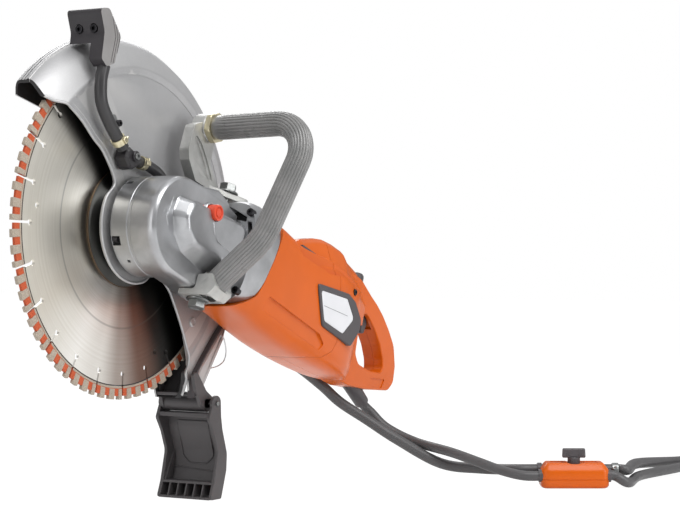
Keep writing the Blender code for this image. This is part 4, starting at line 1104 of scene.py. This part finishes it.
def front_handle():
    piece(tube(handle_path(14, 0), sleeve_radius, MACHINE, 144), "handle_sleeve_ribbed", "machine",
          "sleeve", "handle_sleeve", 60)
    piece(tube(handle_path(-8, -2), 8.0, MACHINE, 28), "handle_core_tube", "machine", "steel",
          "handle_tube")

    collar = turned([(9, -46), (14.6, -46), (15.5, -44.6), (15.5, -30.4), (14.6, -29), (9, -29)],
                    "Y", MACHINE, True, 64, centre=(HANDLE_S, 0, 129.5))
    arm = slab(rounded([(36, 130), (23, 122), (21.5, 94), (26, 84), (44, 67.5), (84, 67.5), (84, 76),
                        (62, 94), (64, 120)], [3, 7, 8, 5, 2, 1, 4, 8, 8]), -44.5, -32.5, MACHINE)
    web = rounded([(28, 114), (42, 108), (56, 96), (74, 78), (50, 77), (30, 90)],
                  [4, 6, 6, 2, 6, 6])
    cut(arm, rod(12, -60, 0, "Y", MACHINE, 48, centre=(HANDLE_S, 0, 129.5)),
        mound([(-50, web), (-42.4, web), (-41.0, inset(web, 1.4))], MACHINE))
    flange = slab(rounded([(45, -33), (45, -42), (66, -43), (119, -66), (119, -33)],
                          [2, 3, 12, 6, 3]), 67.0, 73.6, MACHINE, "Z")
    parts = [soften(part, 1.0, 3, 30) for part in (arm, collar, flange)]
    piece(together(*parts), "upper_handle_bracket", "machine", "rough_cast",
          "handle_upper_bracket", 40)
    nut = rod(17.2, -52.4, -46.3, "Y", MACHINE, steps=6, centre=(HANDLE_S, 0, 129.8))
    cone = turned([(24, -46), (24, -53), (15.4, -53), (16.9, -50.8), (16.9, -47.4), (16, -46)], "Y",
                  MACHINE, True, 48, centre=(HANDLE_S, 0, 129.8))
    cut(nut, cone)
    soften(nut, 0.5)
    piece(nut, "handle_ring_nut", "machine", "yellow", "handle_upper_bracket")

    lower = rounded([(-77.2, -37), (-76.4, -52), (-57, -52), (-57, -57.8), (-93, -57.8), (-101, -50),
                     (-95, -36)], [2, 4, 2, 2, 4, 6, 3])
    base = slab(lower, 37, 69, MACHINE, "X")
    path = handle_path(0, -4)
    clamp = tube(path[-4:], 15.2, MACHINE, 48)
    parts = []
    for part in (base, clamp):
        cut(part, tube(handle_path(0, -12)[-8:], 12.95, MACHINE, 48))
        parts.append(soften(part, 1.2, 3, 30))
    piece(together(*parts), "lower_handle_bracket", "machine", "rough_cast",
          "handle_lower_bracket", 40)

    for name, centre, low, high in (("handle_bolt_upper", UPPER_BOLT, 73.8, 84),
                                    ("handle_bolt_lower", LOWER_BOLT, -58.0, -67.4)):
        flip = 1 if high > low else -1
        washer = turned([(4.2, low), (11.6, low), (12, low + flip * 0.4),
                         (11.8, low + flip * 1.5), (10, low + flip * 2.1), (4.2, low + flip * 2.1)],
                        "Z", MACHINE, True, 48, centre)
        piece(washer, name + "_washer", "machine", "zinc", name)
        piece(hex_bolt(9.4, low + flip * 2.2, high, "Z", MACHINE, centre), name + "_head", "machine",
              "zinc", name)
        stem = rod(3.9, *sorted((low + flip * 2, low - flip * 16)), "Z", MACHINE, centre=centre)
        piece(soften(stem, 0.5), name + "_stem", "machine", "zinc", name)


# ---------------------------------------------------------------- motor housing and rear handle

BODY = ((82, 33.6, 56, -54.5), (104, 34.4, 57, -55.5), (126, 35.0, 58, -57), (150, 35.4, 57, -60),
        (172, 35.4, 54.5, -62), (195, 35.4, 52.5, -63.5), (228, 35.4, 55, -64), (254, 35.4, 58, -63.5),
        (290, 34.6, 57, -61.8), (318, 31.8, 53, -59.5), (338, 24, 50, -57), (352, 14, 46, -54))
SEAM = ((256, 110), (261, 52), (267, 45), (271, 24), (281, -10), (282, -30), (276, -42), (262, -53),
        (240, -60), (196, -76))
HUMP = ((196, 12, 40), (205, 21, 58), (214, 24, 66), (226, 25, 71), (240, 26, 77), (256, 26.5, 81.5),
        (276, 26.5, 83.5), (299, 26, 83.5), (312, 24, 77.5), (340, 19, 74), (364, 14, 65))
GRIP_OUTLINE = ((303, 66), (320, 68), (348, 66), (374, 56), (390, 51), (408, 43), (426, 32),
                (444, 18), (455, -4), (457.3, -24), (448, -36), (428, -41.5), (400, -49), (360, -56.5),
                (303, -57))
GRIP_OPENING = ((366, 36), (394, 22), (412, 9), (424, -5), (428, -15), (423, -22), (398, -27),
                (372, -27), (362, -18), (360, 10))


def lofted(stations, power):
    """Superellipse sections through the stations, with smooth stretches between them."""
    return skin([superellipse(*station, power) for station in smooth(stations, 5)], MACHINE)


def hump_section(along, half_width, top):
    """The shoulder's cross-section: upright sides, long sloping facets and a narrow crown."""
    side = [(1.0, 16), (1.0, top * 0.58), (0.5, top - 5), (0.28, top)]
    left = [(along, MOTOR_Y - half_width * share, n) for share, n in side]
    right = [(along, MOTOR_Y + half_width * share, n) for share, n in reversed(side)]
    return left + right


def orange_body():
    """The whole orange shape before its seams: body, shoulder hump and the rear grip's loop."""
    body = lofted(BODY, 5.0)
    hump = skin([hump_section(*each) for each in HUMP], MACHINE)
    soften(hump, 1.4, 3, 12)
    grip = slab(rounded(GRIP_OUTLINE, [2, 6, 20, 20, 20, 24, 30, 24, 16, 14, 12, 20, 20, 10, 2]),
                MOTOR_Y - 13.2, MOTOR_Y + 13.2, MACHINE)
    cut(grip, slab(rounded(GRIP_OPENING, [9, 24, 16, 14, 8, 8, 20, 12, 8, 10]), -120, 0, MACHINE))
    soften(grip, 6.0, 3, 40)
    ledge = rounded([(158, 62), (186, 37), (246, 37), (282, 46), (322, 44), (345, 50), (345, 120),
                     (150, 120)], [3, 5, 5, 6, 6, 2, 0, 0])
    notches = []
    for side in (-1, 1):
        low, high = sorted((MOTOR_Y + side * 60, MOTOR_Y + side * 25.5))
        notches.append(slab(ledge, low, high, MACHINE))
    cut(body, *notches)
    soften(body, 1.6, 3, 30)
    join(body, hump)
    join(body, grip)
    return body


def side_details(body):
    """The sunk side panels, on both sides."""
    panel = rounded([(136, -26), (244, -32), (258, -40), (251, -49), (128, -44)],
                    [4, 4, 3, 3, 5])
    tools = []
    for side in (-1, 1):
        outer, inner = MOTOR_Y + side * 40, MOTOR_Y + side * 32.8
        tools.append(mound([(outer, panel), (inner + side * 0.6, panel), (inner, inset(panel, 1.2))],
                           MACHINE))
    cut(body, *tools)


def housing():
    full = orange_body()
    side_details(full)
    shifted = [(s + 0.6, n - 0.2) for s, n in ((149, 90), *CAST_SEAM)]
    cut(full, slab([*shifted, (60, -57.5), (60, 90)], -140, 0, MACHINE))
    rear_region = slab([*SEAM, (196, -200), (600, -200), (600, 200), (256, 200)], -160, 20, MACHINE)
    rear = copy_of(full)
    front = cut(full, copy_of(rear_region))
    cut(front, *vent_row())
    soften(front, 0.5, 2, 50)
    piece(front, "motor_shell", "machine", "orange", "motor_housing", 38)

    shifted = [(s + 0.7, n) for s, n in SEAM]
    keep = slab([*shifted, (196.7, -200), (600, -200), (600, 200), (256.7, 200)], -160, 20, MACHINE)
    combine(rear, [keep], "INTERSECT")
    bpy.data.objects.remove(rear_region)
    trigger_slot = slab(rounded([(352, 57), (384, 54), (396, 24), (386, 8), (352, 8)], 3), MOTOR_Y - 8.3,
                        MOTOR_Y + 8.3, MACHINE)
    lockout_bore = rod(8.6, 40, 100, "Z", MACHINE, 40, centre=(356, MOTOR_Y, 0))
    screw_bore = rod(4.2, -110, -95.6, "Y", MACHINE, 32, centre=(305, 0, 36.5))
    tail_mark = slab(rounded([(404, -34), (436, -26), (432, -38), (408, -44)], 1.5), -90, -77.0,
                     MACHINE)
    cut(rear, trigger_slot, lockout_bore, screw_bore, tail_mark)
    left = copy_of(rear)
    halves = (("rear_handle_left", left, -200, MOTOR_Y - 0.15),
              ("rear_handle_right", rear, MOTOR_Y + 0.15, 100))
    for name, half, low, high in halves:
        combine(half, [box_between((150, low, -200), (520, high, 200), MACHINE)], "INTERSECT")
        soften(half, 0.35, 2, 60)
        piece(half, name + "_shell", "machine", "orange", name, 38)
    head = socket_screw(3.4, (-99.0, -96), 1.7, (-104, -98), "Y", MACHINE, (305, 0, 36.5), 0.6, 32)
    piece(head, "handle_screw_head", "machine", "dark_steel", "handle_screw")


def copy_of(obj):
    made = obj.copy()
    made.data = obj.data.copy()
    bpy.context.scene.collection.objects.link(made)
    return made


def vent_row():
    """Tools for the air inlets in the far side of the motor housing."""
    tools = []
    for k in range(7):
        s = 196 + k * 7.5
        slot = rounded([(s, 8), (s + 3.4, 8), (s + 3.4, -18), (s, -18)], 1.5)
        tools.append(slab(slot, MOTOR_Y + 32.2, MOTOR_Y + 40, MACHINE))
    return tools


def badge():
    """The badge on the side: a dark frame and a pale plate. Its text is left out."""
    outer = rounded([(221, 18), (287, 28.5), (303, 24.5), (322, 9), (322, -4), (309, -26),
                     (244, -23)], [4, 5, 8, 8, 7, 6, 6])
    inner = rounded([(228.5, 13), (285, 22), (306, 5), (288, -18), (245.5, -17)], [4, 5, 6, 5, 6])
    face = MOTOR_Y - 35.4
    frame_piece = mound([(face + 5, outer), (face - 1.4, outer), (face - 2.3, inset(outer, 0.9))],
                        MACHINE)
    cut(frame_piece, slab(inner, face - 5, face - 0.9, MACHINE))
    piece(soften(frame_piece, 0.3, 2), "badge_bezel", "machine", "dark", "badge_frame")
    plate = mound([(face - 0.6, inset(inner, 0.3)), (face - 1.7, inset(inner, 0.3)),
                   (face - 1.95, inset(inner, 0.8))], MACHINE)
    piece(plate, "badge_face", "machine", "label", "badge_plate")
    rule = soften(slab([(240, -1.6), (291, 3.6), (291, 4.2), (240, -1.0)], face - 2.1, face - 1.7,
                       MACHINE), 0.05, 1)
    piece(rule, "badge_rule", "machine", "print", "badge_plate")


def controls():
    pin_s, pin_n = 366, 50
    lever = rounded([(-6, 3.5), (4, 2.5), (9, -6), (20, -24), (17, -37), (10, -39), (6, -24), (-3, -6)],
                    [4, 4, 8, 8, 3, 3, 10, 6])
    trigger = slab([(pin_s + a, pin_n + b) for a, b in lever], MOTOR_Y - 6.6, MOTOR_Y + 6.6, MACHINE)
    piece(soften(trigger, 2.2, 4, 40), "trigger_lever", "trigger", "dark", "trigger")
    button = turned([(7.9, 60), (7.9, 72.5), (7.4, 74.8), (6.0, 76.4), (3.4, 77.2), (0.01, 77.2)], "Z",
                    MACHINE, steps=48, centre=(356, MOTOR_Y, 0))
    piece(button, "lockout_cap", "lockout", "dark", "lockout_button")


# ---------------------------------------------------------------- cable, hoses and water valve

VALVE_REACH = 38.0
CABLE_PORT = (-9.0, 13.5)
HOSE_PORT = (9.0, 18.5)


def port(place, along):
    """A point on a valve port's axis, in the arbor frame."""
    world = VALVE @ (Vector((along, *place)) * MM)
    return (ARBOR.inverted() @ world) / MM


def supply_lines():
    reach = VALVE_REACH
    relief = Vector((326, MOTOR_Y, -161))
    run = Vector((0.76, 0, -0.65)).normalized()
    cable = [relief, relief + run * 40, relief + run * 62, (380, -72, -211), (383, -91, -228),
             (386, -127, -243), (380, -177, -252), (379, -215, -262), (380, -240, -269),
             port(CABLE_PORT, -reach - 18), port(CABLE_PORT, -reach + 10), port(CABLE_PORT, 0),
             port(CABLE_PORT, reach - 10), port(CABLE_PORT, reach + 6), port((-9, 5.8), reach + 22),
             (512, -352, -280.7), (597, -368, -278), (630, -375.5, -273.7), (650, -380, -273.7)]
    boot = tube([relief + run * d for d in (1, 1.6, 4, 5, 12, 24, 36, 46, 53, 57.4, 59)],
                lambda share, turn: (10.4 if 0.005 < share < 0.06 else 9.7 - 1.4 * share)
                - (1.2 if share > 0.99 else 0), ARBOR, 48)
    piece(soften(boot, 0.4, 2, 30), "cable_relief", "machine", "dark", "strain_relief")
    piece(tube(smooth(cable, 7), 5.5, ARBOR, 24), "mains_cable", "machine", "cable",
          "power_cable")
    run = (Vector(cable[-1]) - Vector(cable[-2])).normalized()
    start = Vector(cable[-1]) + run * 0.5
    plug = tube([start + run * d for d in (0, 5, 9, 13, 40, 44, 45.5)],
                lambda share, turn: (6.4 + 6.4 * min(1, share * 5)) * (1 - 0.1 * (share > 0.97))
                + 0.3 * math.cos(10 * turn), ARBOR, 60)
    piece(soften(plug, 0.4, 2, 40), "plug_body", "machine", "rubber", "cable_plug")

    hose = [(241, -36, -92), (241, -22, -92), (242.5, -18, -111.5), (258.5, -22, -132.5),
            (284, -25, -150), (306, -30, -163), (321, -43, -179), (334, -58, -197), (349, -83, -216),
            (362, -117, -239), (388, -159, -266), (395, -207, -270), port(HOSE_PORT, -reach - 24),
            port(HOSE_PORT, -reach - 4), port(HOSE_PORT, -reach + 8)]
    piece(tube(smooth(hose, 7), 6.0, ARBOR, 24), "machine_water_hose", "machine", "cable",
          "water_hose_machine")
    supply = [port(HOSE_PORT, reach - 8), port(HOSE_PORT, reach + 4), port(HOSE_PORT, reach + 14),
              port(HOSE_PORT, reach + 24), (520, -345, -268), (630, -352, -275), (672, -356, -275)]
    path = smooth([Vector(point) for point in supply], 8)
    piece(tube(path, 6.0, ARBOR, 24), "supply_water_hose", "machine", "cable",
          "water_hose_supply")
    band_clamp(path, 12, "supply_hose_band", "machine", "zinc", "hose_clamp_supply", 6.2)
    run = (Vector(supply[-1]) - Vector(supply[-2])).normalized()
    start = Vector(supply[-1]) + run * 0.5
    coupling = tube([start + run * d for d in (0, 1, 3, 11, 12, 14, 15, 30, 32, 34)],
                    lambda share, turn: (10.9 if share < 0.34 or share > 0.42 else 9.6)
                    - (0.5 if share in (0.0, 1.0) else 0)
                    - (0.25 * (math.cos(24 * turn) > 0) if share < 0.34 else 0), ARBOR, 96)
    piece(soften(coupling, 0.3, 1, 40), "quick_coupling", "machine", "yellow",
          "hose_coupling")

    gland = turned([(6.2, -32), (9.4, -32), (9.4, -27.6), (8.6, -26.8), (6.2, -26.8)], "Y", ARBOR,
                   True, 40, centre=(241, 0, -92))
    piece(gland, "hose_entry_gland", "machine", "dark", "water_hose_machine")


def valve_box():
    reach, half = VALVE_REACH, 19.0

    def plan(shrink):
        return oblong(reach - shrink, half - shrink, 10 - shrink, 8)

    levels = ((0, 3.2), (0.9, 1.4), (3.2, 0), (9.0, 0), (9.3, 0.5), (9.9, 0.5), (10.2, 0), (17.5, 0),
              (21, 0.8), (25.6, 4.6), (27.6, 6.4), (28, 7.2))
    box = mound([(height, plan(shrink)) for height, shrink in levels], VALVE, "Z")
    seat = turned([(13.5, 26.2), (15.5, 29)], "Z", VALVE, steps=48)
    lid = oblong(26, 9.5, 4)
    groove = mound([(27.2, inset(lid, 0.2)), (29, lid)], VALVE, "Z")
    cut(box, groove, seat, rod(6.2, -60, 60, "X", VALVE, 32, centre=(0, *CABLE_PORT)),
        rod(6.7, -60, -reach + 10, "X", VALVE, 32, centre=(0, *HOSE_PORT)),
        rod(6.7, reach - 10, 60, "X", VALVE, 32, centre=(0, *HOSE_PORT)),
        rod(7.4, 20, 40, "Z", VALVE, 32))
    soften(box, 0.5, 2, 40)
    piece(box, "valve_body", "machine", "orange", "valve_housing", 35)
    corners = [(x, y) for y in (-11, 11) for x in (-30, 30)]
    for index, (x, y) in enumerate(corners):
        head = socket_screw(2.3, (21.5, 24.4), 1.1, (23.4, 26), "Z", VALVE, (x * 0.98, y, 0), 0.5)
        piece(head, f"valve_screw_{index}", "machine", "dark_steel", "valve_housing")
    for name, place, x in (("cable_gland_in", CABLE_PORT, -reach), ("hose_gland_in", HOSE_PORT, -reach),
                           ("cable_gland_out", CABLE_PORT, reach)):
        low, high = (x - 2.2, x + 3) if x < 0 else (x - 3, x + 2.2)
        radius = 5.7 if place is CABLE_PORT else 6.15
        gland = turned([(radius, low), (radius + 1.1, low), (radius + 1.5, low + 0.6),
                        (radius + 1.5, high - 0.6), (radius + 1.1, high), (radius, high)], "X", VALVE,
                       True, 36, (0, *place))
        piece(gland, name, "machine", "dark", "valve_housing")


def valve_knob():
    base = 28.0
    stem = turned([(7.0, base - 3.6), (7.0, base + 4.6), (6.4, base + 5.4)], "Z", VALVE, steps=40)
    wing = mound([(base + 4.8, oblong(12.4, 3.2, 1.6)), (base + 6, oblong(13, 4, 2.2)),
                  (base + 14, oblong(12.6, 3.5, 1.9)), (base + 15, oblong(11.8, 2.7, 1.4))],
                 VALVE, "Z")
    join(stem, wing)
    ribs = [box_between((x, -4.6, base + 7), (x + 0.7, -3.5, base + 13), VALVE)
            for x in (-9, -7, -5, 4.3, 6.3, 8.3)]
    cut(stem, *ribs)
    piece(soften(stem, 0.3, 2), "valve_lever", "valve_knob", "dark", "valve_knob")


# ---------------------------------------------------------------- CAD pieces that stay

INTERNALS = {
    "steel": ("spindle", "crown_gear", "bevel_pinion", "spindle_bearing_outboard",
              "spindle_bearing_inboard", "motor_bearing_front", "motor_bearing_rear",
              "rotor_shaft", "stator"),
    "dark_steel": ("rotor_core", "foot_spring"),
    "copper": ("commutator",),
    "carbon": ("carbon_brush_upper", "carbon_brush_lower"),
    "dark": ("cooling_fan", "control_module", "power_switch"),
}


def carried_over():
    """The inner pieces keep their CAD shapes and take real finishes."""
    for paint, names in INTERNALS.items():
        for name in names:
            node = frame["nodes"][name]
            node.data.materials.clear()
            node.data.materials.append(PAINT[paint])
            for face in node.data.polygons:
                face.material_index = 0


# ---------------------------------------------------------------- stage, light and camera

def floor():
    plane = bpy.data.meshes.new("studio_floor")
    far = 9.0
    plane.from_pydata([(-far, -far, 0), (far, -far, 0), (far, far, 0), (-far, far, 0)], [],
                      [(0, 1, 2, 3)])
    obj = added("studio_floor", plane)
    paint = Paint("pale_floor", "stage")
    tone = paint.mix(paint.spread(paint.noise(3, 2), 0, 1), (0.93, 0.93, 0.93, 1),
                     (0.96, 0.96, 0.96, 1))
    paint.set(Base_Color=tone, Roughness=0.6)
    diffuse = paint.shader.outputs[0]
    glow = paint.node("Emission", Color=(1, 1, 1, 1), Strength=1.08)
    seen = paint.nodes.new("ShaderNodeLightPath")
    straight = paint.maths("MULTIPLY", seen.outputs["Is Camera Ray"], 0.88)
    mirrored = paint.maths("MULTIPLY", seen.outputs["Is Glossy Ray"], 0.5)
    share = paint.maths("ADD", straight, mirrored)
    blend = paint.nodes.new("ShaderNodeMixShader")
    paint.links.new(share, blend.inputs[0])
    paint.links.new(diffuse, blend.inputs[1])
    paint.links.new(glow.outputs[0], blend.inputs[2])
    output = paint.nodes["Material Output"]
    paint.links.new(blend.outputs[0], output.inputs["Surface"])
    plane.materials.append(paint.material)


def world():
    """A soft white room, darker low down, that the camera sees as white."""
    made = bpy.data.worlds.new("studio")
    made.use_nodes = True
    tree = made.node_tree
    nodes, links = tree.nodes, tree.links
    nodes.clear()
    place, parts, ramp, room, white, seen, mix, output = (
        nodes.new("ShaderNode" + kind) for kind in
        ("TexCoord", "SeparateXYZ", "ValToRGB", "Background", "Background", "LightPath",
         "MixShader", "OutputWorld"))
    for element, position, grey in zip(ramp.color_ramp.elements, (0.0, 0.85),
                                       ((0.1, 0.1, 0.105, 1), (0.95, 0.95, 0.96, 1))):
        element.position, element.color = position, grey
    room.inputs["Strength"].default_value = 0.9
    white.inputs["Color"].default_value = (1, 1, 1, 1)
    for start, end in ((place.outputs["Generated"], parts.inputs[0]),
                       (parts.outputs["Z"], ramp.inputs[0]), (ramp.outputs[0], room.inputs["Color"]),
                       (seen.outputs["Is Camera Ray"], mix.inputs[0]), (room.outputs[0], mix.inputs[1]),
                       (white.outputs[0], mix.inputs[2]), (mix.outputs[0], output.inputs["Surface"])):
        links.new(start, end)
    bpy.context.scene.world = made


def softbox(name, place, target, width, height, power):
    """An area light at a place in the row frame, turned to its target. Sizes are in metres."""
    light = bpy.data.lights.new(name, "AREA")
    light.shape = "RECTANGLE"
    light.size = width
    light.size_y = height
    light.energy = power
    obj = added(name, light)
    obj.location = place
    obj.rotation_euler = (Vector(target) - Vector(place)).to_track_quat("-Z", "Y").to_euler()


def lights():
    middle = (0.05, -0.1, 0.25)
    softbox("key_overhead", (-0.5, -1.1, 2.0), middle, 1.5, 1.1, 27)
    softbox("front_left", (-2.0, 0.3, 0.7), middle, 0.5, 1.5, 6)
    softbox("right_strip", (0.1, -2.2, 0.9), middle, 0.6, 1.6, 16)
    softbox("side_panel", (1.9, -1.5, 0.35), middle, 1.6, 1.0, 2.2)
    softbox("rear_rim", (1.2, 1.2, 1.5), middle, 1.4, 0.8, 16)


CAMERA_FROM_BLADE = (-1.6330, -1.2308, -0.0299)
CAMERA_TURN = -59.18


def camera():
    """Level with the floor, at the height of the blade's centre, from in front of the blade."""
    made = bpy.data.cameras.new("camera")
    made.lens = 105.9
    made.sensor_width = 36.0
    obj = added("camera", made)
    obj.location = joint_point("blade_spin") + Vector(CAMERA_FROM_BLADE)
    obj.rotation_euler = (math.radians(90), 0, math.radians(CAMERA_TURN))
    bpy.context.scene.camera = obj


def main():
    for build in (blade_disc, blade_segments, flanges, guard_shells, tail_web, guard_details,
                  guard_grip, guard_hose, foot_parts, foot_bracket, drum, gear_cover, lock_button,
                  casting, front_handle, housing, badge, controls, supply_lines, valve_box,
                  valve_knob, carried_over, floor, world, lights, camera):
        build()
    bpy.context.scene.view_settings.view_transform = "Standard"


main()
